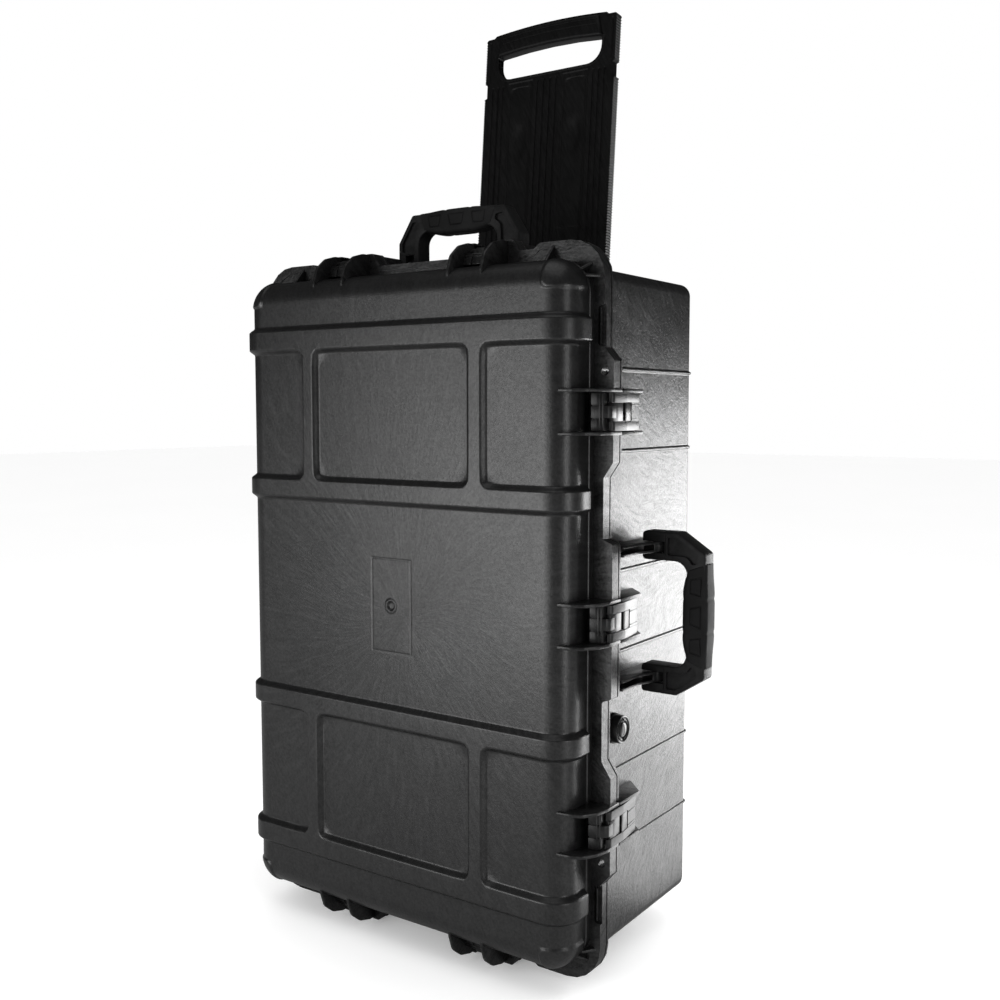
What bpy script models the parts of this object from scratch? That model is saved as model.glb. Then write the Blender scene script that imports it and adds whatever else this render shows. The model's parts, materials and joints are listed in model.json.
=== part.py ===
"""Upright hard equipment case: two moulded shells, seven double latches, two folding handles,
a pull-out trolley panel, two wheels and a pressure valve. Metres, +Z up, lid facing -Y."""

import math

import bmesh
import bpy
from mathutils import Matrix, Vector

# --- Driving dimensions, in the case frame: X across the lid, Y from lid face to back, Z up ---
GAP = 0.0003                    # clearance between pieces that touch
PART_Y = 0.0687                 # parting plane between lid and base
WALL = 0.004

LID_HALF_X, LID_HALF_Z = 0.2335, 0.381
LID_EDGE, LID_FACE_ROUND = 0.034, 0.028
BASE_HALF_X, BASE_HALF_Z = 0.238, 0.376
BASE_BACK = 0.288
BASE_EDGE, BASE_BACK_ROUND = 0.015, 0.011

RIM_HALF_X, RIM_WIDE_X = 0.249, 0.2586
RIM_HALF_Z, RIM_CORNER = 0.4045, 0.042
RIM_FRONT, RIM_BACK = 0.0545, 0.0775
STATION_TOP, FLOOR = 0.411, -0.4145
BAY_X, BAY_Z = 0.2430, 0.3840   # floors of the bays that the latches lie in

SEAL_X, SEAL_Z, SEAL_CORNER = 0.2375, 0.3787, 0.020
SEAL_WIDE, SEAL_DEEP = 0.0042, 0.004

BAND_PROUD, BAND_ROUND = 0.0065, 0.030
BAND_END_Y, PAD_END_Y = 0.046, 0.044
BANDS = ((0.118, 0.143), (0.2945, 0.322))
POST_X = (0.112, 0.1325)
PAD_X, PAD_Z, PAD_PROUD = 0.2027, 0.3500, 0.003
RIB_Z, RIB_SHIFT = (0.045, 0.177, 0.2665), 0.0025
RIB_HALF, RIB_PROUD = 0.0015, 0.0016
PADLOCK_X, PADLOCK_Z, PADLOCK_R = 0.2478, 0.2655, 0.0047

LATCH_X, LATCH_Z = 0.2405, 0.381  # the level that latch and fin heights are measured from
SIDE_LATCH_Z = (0.2228, 0.0, -0.2228)
END_LATCH_X = (-0.1001, 0.1001)
FIN_OFFSET, FIN_THICK, END_FIN_SCALE = 0.0231, 0.004, 1.35
BAY_HALF = 0.0211
LATCH_OUT = 0.0230              # outer face of a latch above that level
LATCH_PIN = (0.0115, 0.110)     # latch pivot: above that level, and along Y
LEVER_PIN = (0.0185, 0.0815)    # lever pivot inside the latch
LATCH_PIN_R, LEVER_PIN_R = 0.0022, 0.0014
END_LATCH_SHIFT = 0.0018

HINGE_X, HINGE_Y = -0.262, 0.0687
HINGE_Z = (0.24, 0.0, -0.24)
KNUCKLE_R, HINGE_PIN_R = 0.0065, 0.00225

SIDE_PIVOT_Y, TOP_PIVOT_Y = 0.147, 0.139
HANDLE_PIVOT_OUT = 0.0295       # handle pivot above the base's wall
HANDLE_ARM, HANDLE_ARM_HALF = 0.0731, 0.0056
HANDLE_PIN_R = 0.0030
HANDLE_REACH = 0.063            # pivot to the grip's outer face

TROLLEY_SLOPE = 0.0838          # backward lean of the trolley channel, run over rise
TROLLEY_Y, TROLLEY_Z = 0.3172, 0.415
PANEL_HALF_X, PANEL_HALF_Y = 0.103, 0.006
PANEL_LOW, PANEL_TOP = -0.102, 0.3306
TROLLEY_TRAVEL = 0.31
CHANNEL_LOW = PANEL_LOW - TROLLEY_TRAVEL - 0.028
GRIP_SLOT_HALF = 0.082

WHEEL_X, WHEEL_Y, WHEEL_R, WHEEL_HALF = 0.160, 0.268, 0.038, 0.015
WHEEL_Z = FLOOR + WHEEL_R

VALVE_Y, VALVE_Z, VALVE_R = 0.0955, -0.1265, 0.0175

# The frame's origin is the middle of the floor under the whole case.
ORIGIN = Vector((0.03106, 0.17384, FLOOR))

MATERIALS = {
    "shell": ((0.022, 0.022, 0.023), 0.42, 0.0),
    "latch": ((0.018, 0.018, 0.019), 0.38, 0.0),
    "handle": ((0.014, 0.014, 0.015), 0.45, 0.0),
    "rubber": ((0.012, 0.012, 0.012), 0.75, 0.0),
    "tyre": ((0.015, 0.015, 0.015), 0.80, 0.0),
    "trolley": ((0.010, 0.010, 0.011), 0.40, 0.0),
    "steel": ((0.55, 0.55, 0.56), 0.30, 1.0),
    "seal": ((0.05, 0.05, 0.05), 0.85, 0.0),
}


# --- Scene, materials and object helpers ---
def clear_scene():
    for obj in list(bpy.data.objects):
        bpy.data.objects.remove(obj, do_unlink=True)


def material(slot):
    found = bpy.data.materials.get(slot)
    if found:
        return found
    colour, roughness, metallic = MATERIALS[slot]
    made = bpy.data.materials.new(slot)
    made.use_nodes = True
    shader = made.node_tree.nodes["Principled BSDF"]
    shader.inputs["Base Color"].default_value = (*colour, 1.0)
    shader.inputs["Roughness"].default_value = roughness
    shader.inputs["Metallic"].default_value = metallic
    return made


def object_from(bm, name):
    bmesh.ops.recalc_face_normals(bm, faces=bm.faces)
    mesh = bpy.data.meshes.new(name)
    bm.to_mesh(mesh)
    bm.free()
    obj = bpy.data.objects.new(name, mesh)
    bpy.context.scene.collection.objects.link(obj)
    return obj


def axis_empty(name, location, rotation=(0.0, 0.0, 0.0)):
    empty = bpy.data.objects.new(name, None)
    bpy.context.scene.collection.objects.link(empty)
    empty.location = location
    empty.rotation_euler = rotation
    return empty


def finish(obj, slot, parent, smooth=None, pivot=None):
    """Give a finished solid its material and hang it on the case, its origin on its pivot."""
    obj.data.materials.clear()
    obj.data.materials.append(material(slot))
    if pivot is not None:
        obj.data.transform(Matrix.Translation(-Vector(pivot)))
        obj.location = pivot
    if smooth is not None:
        obj.data.shade_smooth()
        obj.data.set_sharp_from_angle(angle=math.radians(smooth))
    obj.parent = parent
    return obj


def drop(obj):
    bpy.data.objects.remove(obj, do_unlink=True)


def combine(target, tools, operation):
    """Join tools to the target, or cut them from it, and keep one plain mesh."""
    for tool in tools:
        step = target.modifiers.new(operation, "BOOLEAN")
        step.operation = operation
        step.object = tool
        step.solver = "EXACT"
        bpy.context.view_layer.update()
        graph = bpy.context.evaluated_depsgraph_get()
        result = bpy.data.meshes.new_from_object(target.evaluated_get(graph))
        target.modifiers.clear()
        old = target.data
        target.data = result
        bpy.data.meshes.remove(old)
        drop(tool)
    return target


def join(target, *tools):
    return combine(target, tools, "UNION")


def cut(target, *tools):
    return combine(target, tools, "DIFFERENCE")


# --- Shape helpers ---
def rounded(points, segments=4):
    """An outline from corners (a, b) or (a, b, radius): a corner with a radius becomes an arc."""
    out = []
    count = len(points)
    for i, point in enumerate(points):
        corner = Vector(point[:2])
        radius = point[2] if len(point) > 2 else 0.0
        if radius == 0.0:
            out.append(tuple(corner))
            continue
        before = (Vector(points[i - 1][:2]) - corner).normalized()
        after = (Vector(points[(i + 1) % count][:2]) - corner).normalized()
        half = before.angle(after) / 2
        centre = corner + (before + after).normalized() * (radius / math.sin(half))
        start = corner + before * (radius / math.tan(half)) - centre
        sweep = start.angle_signed(corner + after * (radius / math.tan(half)) - centre)
        for k in range(segments + 1):
            turn = -sweep * k / segments
            spoke = Matrix.Rotation(turn, 2) @ start
            out.append(tuple(centre + spoke))
    return out


def prism(outline, axis, low, high, name="tool"):
    """Extrude an outline along X, Y or Z. The outline's pairs are the other two axes in order."""
    place = {
        "X": lambda a, b, c: (c, a, b),
        "Y": lambda a, b, c: (a, c, b),
        "Z": lambda a, b, c: (a, b, c),
    }[axis]
    bm = bmesh.new()
    bottom = [bm.verts.new(place(a, b, low)) for a, b in outline]
    top = [bm.verts.new(place(a, b, high)) for a, b in outline]
    bm.faces.new(bottom)
    bm.faces.new(top)
    for i in range(len(outline)):
        j = (i + 1) % len(outline)
        bm.faces.new((bottom[i], bottom[j], top[j], top[i]))
    return object_from(bm, name)


def box(low, high, name="tool"):
    outline = ((low[0], low[1]), (high[0], low[1]), (high[0], high[1]), (low[0], high[1]))
    return prism(outline, "Z", low[2], high[2], name)


def circle(a, b, radius, sides):
    steps = (2 * math.pi * (k + 0.5) / sides for k in range(sides))
    return [(a + radius * math.cos(t), b + radius * math.sin(t)) for t in steps]


def rod(axis, centre, radius, low, high, sides=16, name="tool"):
    return prism(circle(*centre, radius, sides), axis, low, high, name)


def turned(profile, centre, axis, sides, name="tool"):
    """Revolve a closed (radius, along) profile about X or Y through the centre point."""
    bm = bmesh.new()
    rings = []
    for k in range(sides):
        t = 2 * math.pi * k / sides
        ring = []
        for radius, along in profile:
            u, v = radius * math.cos(t), radius * math.sin(t)
            offset = Vector((along, u, v)) if axis == "X" else Vector((u, along, v))
            ring.append(bm.verts.new(Vector(centre) + offset))
        rings.append(ring)
    for k in range(sides):
        this, after = rings[k], rings[(k + 1) % sides]
        for i in range(len(profile)):
            j = (i + 1) % len(profile)
            bm.faces.new((this[i], this[j], after[j], after[i]))
    return object_from(bm, name)


def rounded_box(low, high, edge, face_round, face_y, name):
    """A box whose four edges along Y are rounded, and whose one closed face at face_y is too."""
    obj = box(low, high, name)
    bm = bmesh.new()
    bm.from_mesh(obj.data)
    along = [e for e in bm.edges if abs((e.verts[0].co - e.verts[1].co).y) > 1e-6]
    bmesh.ops.bevel(bm, geom=along, offset=edge, segments=4, profile=0.5, affect="EDGES")
    loop = [
        e for e in bm.edges
        if all(abs(v.co.y - face_y) < 1e-6 for v in e.verts) and len(e.link_faces) == 2
    ]
    bmesh.ops.bevel(bm, geom=loop, offset=face_round, segments=3, profile=0.5, affect="EDGES")
    bmesh.ops.recalc_face_normals(bm, faces=bm.faces)
    bm.to_mesh(obj.data)
    bm.free()
    return obj


# --- Rims shared by both shells ---
def rim(low_y, high_y, foot, name):
    """The flange round a shell: rounded outline, wide stations at the latches, open latch bays."""
    half_x, half_z = RIM_HALF_X, RIM_HALF_Z
    corners = (
        (-half_x, -half_z, RIM_CORNER), (half_x, -half_z, RIM_CORNER),
        (half_x, half_z, RIM_CORNER), (-half_x, half_z, RIM_CORNER),
    )
    ring = prism(rounded(corners, 6), "Y", low_y, high_y, name)
    inside = LID_HALF_X - 0.01
    for level in (1, -1):
        side = (
            (inside, level * 0.153), (half_x - 0.001, level * 0.153),
            (RIM_WIDE_X, level * 0.170), (RIM_WIDE_X, level * 0.277),
            (half_x - 0.001, level * 0.290), (inside, level * 0.290),
        )
        join(ring, prism(side, "Y", low_y, high_y))
    block = (
        (inside, -0.0873), (half_x, -0.0873), (RIM_WIDE_X, -0.0833), (RIM_WIDE_X, 0.0833),
        (half_x, 0.0873), (inside, 0.0873),
    )
    join(ring, prism(block, "Y", low_y, high_y))
    for level, reach in ((1, STATION_TOP), (-1, foot)):
        edge, root = level * half_z, level * (BASE_HALF_Z + 0.005)
        for sign in (1, -1):
            station = (
                (sign * 0.058, root), (sign * 0.058, edge - level * 0.010),
                (sign * 0.070, reach), (sign * 0.132, reach),
                (sign * 0.1415, edge - level * 0.007), (sign * 0.1415, root),
            )
            join(ring, prism(station, "Y", low_y, high_y))
            dip = (
                (sign * 0.1418, edge + level * 0.02), (sign * 0.1418, edge - level * 0.006),
                (sign * 0.160, edge - level * 0.006), (sign * 0.167, edge + level * 0.0005),
                (sign * 0.167, edge + level * 0.02),
            )
            cut(ring, prism(dip, "Y", low_y - 0.01, high_y + 0.01))
        middle = (
            (-0.0580, edge + level * 0.02), (-0.0580, edge - level * 0.0085),
            (0.0580, edge - level * 0.0085), (0.0580, edge + level * 0.02),
        )
        cut(ring, prism(middle, "Y", low_y - 0.01, high_y + 0.01))
    return ring


def bay_cutters(low_y, high_y):
    """Spaces that the latches lie in, cut into a rim."""
    tools = []
    for z in SIDE_LATCH_Z:
        tools.append(box((BAY_X, low_y, z - BAY_HALF), (0.30, high_y, z + BAY_HALF)))
    for x in END_LATCH_X:
        tools.append(box((x - BAY_HALF, low_y, BAY_Z), (x + BAY_HALF, high_y, 0.45)))
        tools.append(box((x - BAY_HALF, low_y, -0.45), (x + BAY_HALF, high_y, -BAY_Z)))
    return tools


def fins(profile):
    """Pairs of guard fins beside each latch. The profile is (height above the datum, y)."""
    made = []
    for z in SIDE_LATCH_Z:
        for offset in (-FIN_OFFSET, FIN_OFFSET):
            outline = [(LATCH_X + h, y) for h, y in profile]
            low = z + offset - FIN_THICK / 2
            made.append(prism(outline, "Z", low, low + FIN_THICK))
    for x in END_LATCH_X:
        for level in (1, -1):
            for offset in (-FIN_OFFSET, FIN_OFFSET):
                outline = [(y, level * (LATCH_Z + h * END_FIN_SCALE)) for h, y in profile]
                low = x + offset - FIN_THICK / 2
                made.append(prism(outline, "X", low, low + FIN_THICK))
    return made


def padlock_holes():
    """Bores through both rims, above and below the outer side latches."""
    return [
        rod("Y", (PADLOCK_X, level * PADLOCK_Z), PADLOCK_R, 0.02, 0.12, 12) for level in (1, -1)
    ]


# --- Lid ---
def lid_shell(parent):
    low_y, high_y = RIM_FRONT, PART_Y - GAP
    shell = rounded_box(
        (-LID_HALF_X, 0.0, -LID_HALF_Z), (LID_HALF_X, high_y, LID_HALF_Z),
        LID_EDGE, LID_FACE_ROUND, 0.0, "lid_shell",
    )
    join(shell, rim(low_y, high_y, FLOOR + 0.001, "lid_rim"))
    cut(shell, *bay_cutters(low_y - 0.02, high_y + 0.01))
    join(shell, *lid_bands(), *lid_posts(), *lid_pads())
    join(shell, *fins(LID_FIN))
    join(shell, *lid_knuckles(high_y))
    inner_x, inner_z = LID_HALF_X - WALL, LID_HALF_Z - WALL
    cut(shell, rounded_box(
        (-inner_x, WALL, -inner_z), (inner_x, high_y + 0.02, inner_z),
        LID_EDGE - WALL, LID_FACE_ROUND - WALL, WALL, "hollow",
    ))
    cut(shell, seal_ring(SEAL_WIDE, 0.0, high_y - SEAL_DEEP, high_y + 0.01, "groove"))
    cut(shell, *padlock_holes(), hinge_bore())
    finish(shell, "shell", parent, smooth=35, pivot=(HINGE_X, HINGE_Y, 0.0))
    return shell


LID_FIN = (
    (-0.0200, PART_Y - GAP), (-0.0195, 0.0052), (-0.0110, 0.0056), (-0.0040, 0.0068),
    (0.0064, 0.0120), (0.0140, 0.0205), (0.0190, 0.0320), (0.0212, 0.0430),
    (0.0215, 0.0520), (0.0215, PART_Y - GAP),
)

BASE_FIN = (
    (-0.010, PART_Y + GAP), (0.0220, PART_Y + GAP), (0.0220, 0.1140),
    (-0.0040, 0.1394), (-0.010, 0.1394),
)


def lid_bands():
    made = []
    x = LID_HALF_X + BAND_PROUD
    outline = rounded((
        (-x, BAND_END_Y), (-x, -BAND_PROUD, BAND_ROUND), (x, -BAND_PROUD, BAND_ROUND), (x, BAND_END_Y),
    ), 4)
    for low, high in BANDS:
        made.append(prism(outline, "Z", low, high))
        made.append(prism(outline, "Z", -high, -low))
    return made


def lid_posts():
    made = []
    low_z, high_z = BANDS[0][1] - 0.005, BANDS[1][0] + 0.005
    for sign in (1, -1):
        x = sorted((sign * POST_X[0], sign * POST_X[1]))
        for level in (1, -1):
            z = sorted((level * low_z, level * high_z))
            made.append(box((x[0], 0.0005 - BAND_PROUD, z[0]), (x[1], 0.003, z[1])))
    return made


def lid_pads():
    """Thickened corners: a skin a little proud of the lid, kept only at its four corners."""
    made = []
    x, z = LID_HALF_X + PAD_PROUD, LID_HALF_Z + PAD_PROUD
    for sign in (1, -1):
        for level in (1, -1):
            skin = rounded_box(
                (-x, -PAD_PROUD, -z), (x, PAD_END_Y, z), LID_EDGE + PAD_PROUD,
                LID_FACE_ROUND + PAD_PROUD, -PAD_PROUD, "pad",
            )
            corner = rounded((
                (sign * PAD_X, level * PAD_Z, 0.008), (sign * 0.30, level * PAD_Z),
                (sign * 0.30, level * 0.45), (sign * PAD_X, level * 0.45),
            ), 4)
            made.append(combine(skin, [prism(corner, "Y", -0.02, 0.06)], "INTERSECT"))
    return made


def lid_knuckles(high_y):
    """Two knuckles at each hinge, either side of the base's, on arms from the lid's rim."""
    made = []
    for z in HINGE_Z:
        for low, high in ((z - 0.0245, z - 0.0120), (z + 0.0120, z + 0.0245)):
            arm = box((HINGE_X, high_y - 0.010, low), (-RIM_HALF_X + 0.004, high_y, high))
            made.append(join(rod("Z", (HINGE_X, HINGE_Y), KNUCKLE_R, low, high), arm))
    return made


def hinge_bore():
    return rod("Z", (HINGE_X, HINGE_Y), HINGE_PIN_R + 0.0004, -0.5, 0.5)


def seal_ring(outer, inner, low_y, high_y, name):
    """A ring that runs round the mouth, its reaches measured out from the seal's inner face."""
    bm = bmesh.new()
    loops = []
    for reach, y in ((outer, low_y), (outer, high_y), (inner, high_y), (inner, low_y)):
        x, z = SEAL_X + reach, SEAL_Z + reach
        radius = SEAL_CORNER + reach
        corners = ((-x, -z, radius), (x, -z, radius), (x, z, radius), (-x, z, radius))
        loops.append([bm.verts.new((a, y, b)) for a, b in rounded(corners, 4)])
    count = len(loops[0])
    for k in range(4):
        this, after = loops[k], loops[(k + 1) % 4]
        for i in range(count):
            j = (i + 1) % count
            bm.faces.new((this[i], this[j], after[j], after[i]))
    return object_from(bm, name)


def lid_seal(parent):
    high_y = PART_Y - GAP
    seal = seal_ring(
        SEAL_WIDE - GAP, GAP, high_y - SEAL_DEEP + GAP, high_y - 0.0001, "lid_seal"
    )
    finish(seal, "seal", parent, smooth=35, pivot=(HINGE_X, HINGE_Y, 0.0))


# --- Base ---
def base_shell(parent):
    low_y = PART_Y + GAP
    shell = rounded_box(
        (-BASE_HALF_X, low_y, -BASE_HALF_Z), (BASE_HALF_X, BASE_BACK, BASE_HALF_Z),
        BASE_EDGE, BASE_BACK_ROUND, BASE_BACK, "base_shell",
    )
    join(shell, rim(low_y, RIM_BACK, FLOOR, "base_rim"))
    cut(shell, *bay_cutters(low_y - 0.01, RIM_BACK + 0.01))
    join(shell, *base_ribs(), *fins(BASE_FIN), *handle_arms(), *base_knuckles(low_y))
    inner_x, inner_z = BASE_HALF_X - WALL, BASE_HALF_Z - WALL
    cut(shell, rounded_box(
        (-inner_x, low_y - 0.02, -inner_z), (inner_x, BASE_BACK - WALL, inner_z),
        BASE_EDGE - WALL, BASE_BACK_ROUND - WALL, BASE_BACK - WALL, "hollow",
    ))
    join(shell, *wheel_wells(), trolley_trough())
    cut(shell, *wheel_cutters(), trolley_space(GAP + 0.0012, CHANNEL_LOW, 0.0))
    cut(shell, *padlock_holes(), hinge_bore(), *pin_bores())
    cut(shell, rod("X", (VALVE_Y, VALVE_Z), 0.0103, 0.20, 0.25))
    finish(shell, "shell", parent, smooth=35)


def base_ribs():
    """Slim stiffening ribs that run from the rim to the back on both long sides."""
    made = []
    for z in RIB_Z:
        for middle in (RIB_SHIFT + z, RIB_SHIFT - z):
            for sign in (1, -1):
                x = sorted((sign * (BASE_HALF_X - 0.002), sign * (BASE_HALF_X + RIB_PROUD)))
                made.append(box(
                    (x[0], RIM_BACK - 0.001, middle - RIB_HALF),
                    (x[1], BASE_BACK - BASE_BACK_ROUND, middle + RIB_HALF),
                ))
    return made


def arm_profile(pivot_y):
    """Outline (height above the base's wall, y) of a cheek that carries a handle."""
    root, out = -0.002, HANDLE_PIVOT_OUT
    return (
        (root, RIM_BACK - 0.001), (0.0221, RIM_BACK - 0.001), (0.0221, pivot_y - 0.035),
        (out + 0.003, pivot_y - 0.0085), (out + 0.0085, pivot_y - 0.0045),
        (out + 0.0085, pivot_y + 0.0045), (out + 0.0035, pivot_y + 0.0095),
        (0.0165, pivot_y + 0.011), (0.010, pivot_y + 0.021), (root, pivot_y + 0.025),
    )


def handle_arms():
    """Four cheeks on the base that carry the side handle and the top handle."""
    made = []
    side = [(BASE_HALF_X + h, y) for h, y in arm_profile(SIDE_PIVOT_Y)]
    top = [(y, BASE_HALF_Z + h) for h, y in arm_profile(TOP_PIVOT_Y)]
    for sign in (1, -1):
        low = sign * HANDLE_ARM - HANDLE_ARM_HALF
        high = sign * HANDLE_ARM + HANDLE_ARM_HALF
        made.append(prism(side, "Z", low, high))
        made.append(prism(top, "X", low, high))
    return made


def base_knuckles(low_y):
    made = []
    for z in HINGE_Z:
        low, high = z - 0.0115, z + 0.0115
        arm = box((HINGE_X, low_y, low), (-RIM_HALF_X + 0.004, low_y + 0.010, high))
        made.append(join(rod("Z", (HINGE_X, HINGE_Y), KNUCKLE_R, low, high), arm))
    return made


def wheel_wells():
    """Boxed-in corners round the wheels, with cheeks that reach down to the axles."""
    made = []
    front, back, roof = WHEEL_Y - WHEEL_R - 0.010, BASE_BACK - 0.0005, WHEEL_Z + WHEEL_R + 0.010
    for sign in (1, -1):
        inner, outer = WHEEL_X - WHEEL_HALF - 0.009, WHEEL_X + WHEEL_HALF + 0.009
        x = sorted((sign * inner, sign * outer))
        made.append(box((x[0], front, -BASE_HALF_Z + 0.001), (x[1], back, roof)))
        for face in (inner, outer - 0.0055):
            near = sorted((sign * face, sign * (face + 0.0055)))
            cheek = (
                (WHEEL_Y - 0.020, roof - 0.010), (WHEEL_Y - 0.020, WHEEL_Z - 0.004),
                (WHEEL_Y - 0.010, WHEEL_Z - 0.014), (WHEEL_Y + 0.010, WHEEL_Z - 0.014),
                (back, WHEEL_Z - 0.004), (back, roof - 0.010),
            )
            made.append(prism(cheek, "X", *near))
    return made


def wheel_cutters():
    made = []
    roof = WHEEL_Z + WHEEL_R + 0.005
    for sign in (1, -1):
        inner, outer = WHEEL_X - WHEEL_HALF - 0.0035, WHEEL_X + WHEEL_HALF + 0.0035
        x = sorted((sign * inner, sign * outer))
        made.append(box((x[0], WHEEL_Y - WHEEL_R - 0.005, -0.50), (x[1], 0.35, roof)))
        axle = sorted((sign * (inner - 0.02), sign * (outer + 0.02)))
        made.append(rod("X", (WHEEL_Y, WHEEL_Z), AXLE_R + GAP, *axle, 16))
    return made


def pin_bores():
    """Bores for the seven latch pins and the four handle pins."""
    made = [fin_rod(place, LATCH_PIN_R + GAP, 0.0240) for place in latch_places()]
    bore = HANDLE_PIN_R + GAP
    made.append(rod("Z", (BASE_HALF_X + HANDLE_PIVOT_OUT, SIDE_PIVOT_Y), bore, -0.1, 0.1, 12))
    made.append(rod("X", (TOP_PIVOT_Y, BASE_HALF_Z + HANDLE_PIVOT_OUT), bore, -0.1, 0.1, 12))
    return made


# --- Latches: drawn once beside the lid wall, then turned to each side of the case ---
def latch_places():
    """(name, half width, matrix, shift) for each latch. The matrix maps (height, y, along) to the
    case, and shift is how far along the middle of its bay lies: the end latches sit off centre,
    because the lid's fins sweep sideways past them as it opens."""
    places = []
    for name, z in zip(("upper", "middle", "lower"), SIDE_LATCH_Z):
        turn = Matrix(((1, 0, 0, LATCH_X), (0, 1, 0, 0), (0, 0, 1, z), (0, 0, 0, 1)))
        places.append((f"side_{name}", 0.0203, turn, 0.0))
    for side, x in zip(("left", "right"), END_LATCH_X):
        along = x - END_LATCH_SHIFT
        top = Matrix(((0, 0, -1, along), (0, 1, 0, 0), (1, 0, 0, LATCH_Z), (0, 0, 0, 1)))
        places.append((f"top_{side}", 0.0190, top, -END_LATCH_SHIFT))
        low = Matrix(((0, 0, 1, along), (0, 1, 0, 0), (-1, 0, 0, -LATCH_Z), (0, 0, 0, 1)))
        places.append((f"bottom_{side}", 0.0190, low, END_LATCH_SHIFT))
    return places


def fin_rod(place, radius, half):
    """A rod at a latch's base pin, centred between the fins that hold it."""
    shift = place[3]
    obj = rod("Z", LATCH_PIN, radius, shift - half, shift + half, 12)
    obj.data.transform(place[2])
    return obj


LATCH_OUTLINE = (
    (0.0155, 0.0520), (LATCH_OUT, 0.0520), (LATCH_OUT, 0.1000), (0.0215, 0.1085),
    (0.0175, 0.1155), (0.0120, 0.1188), (0.0062, 0.1170), (0.0030, 0.1115),
    (0.0036, 0.1060), (0.0090, 0.1010), (0.0130, 0.0950), (0.0155, 0.0900),
)

LEVER_TAB = (
    (0.0030, 0.0322), (0.0165, 0.0368), (0.0215, 0.0392), (LATCH_OUT, 0.0430),
    (LATCH_OUT, 0.0505), (0.0160, 0.0505), (0.0135, 0.0450), (0.0085, 0.0412),
    (0.0032, 0.0392),
)

LEVER_TONGUE = (
    (0.0160, 0.0480), (LATCH_OUT - 0.0012, 0.0480), (LATCH_OUT - 0.0012, 0.0815),
    (LATCH_OUT - 0.0026, 0.0850), (0.0185, 0.0865), (0.0160, 0.0850), (0.0148, 0.0815),
)


def latch(place, base):
    """One latch: the frame on its base pin, the lever in its window, and their two pins."""
    name, half, turn, _ = place
    pivot = turn @ Vector((*LATCH_PIN, 0.0))
    lever_pivot = turn @ Vector((*LEVER_PIN, 0.0))
    swing = axis_empty(f"{name}_latch_axis", pivot)
    swing.parent = base

    frame = prism(LATCH_OUTLINE, "Z", -half, half, f"{name}_latch_frame")
    window = box((0.0, 0.040, -0.0102), (0.040, 0.0880, 0.0102))
    cut(frame, window)
    cut(frame, rod("Z", LATCH_PIN, LATCH_PIN_R + GAP, -0.03, 0.03, 12))
    cut(frame, rod("Z", LEVER_PIN, LEVER_PIN_R + GAP, -0.016, 0.016, 8))
    frame.data.transform(turn)
    finish(frame, "latch", swing, smooth=30)
    frame.location = -pivot

    lever = prism(LEVER_TAB, "Z", -half, half, f"{name}_latch_lever")
    join(lever, prism(LEVER_TONGUE, "Z", -0.0097, 0.0097))
    cut(lever, rod("Z", LEVER_PIN, LEVER_PIN_R + GAP, -0.03, 0.03, 8))
    lever.data.transform(turn)
    finish(lever, "latch", swing, smooth=30, pivot=lever_pivot)
    lever.location = lever_pivot - pivot

    lever_pin = rod("Z", LEVER_PIN, LEVER_PIN_R, -0.0157, 0.0157, 8, f"{name}_lever_pin")
    lever_pin.data.transform(turn)
    finish(lever_pin, "steel", swing, smooth=30)
    lever_pin.location = -pivot

    pin = fin_rod(place, LATCH_PIN_R, 0.0230)
    pin.name = f"{name}_latch_pin"
    finish(pin, "steel", base, smooth=30)


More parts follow.
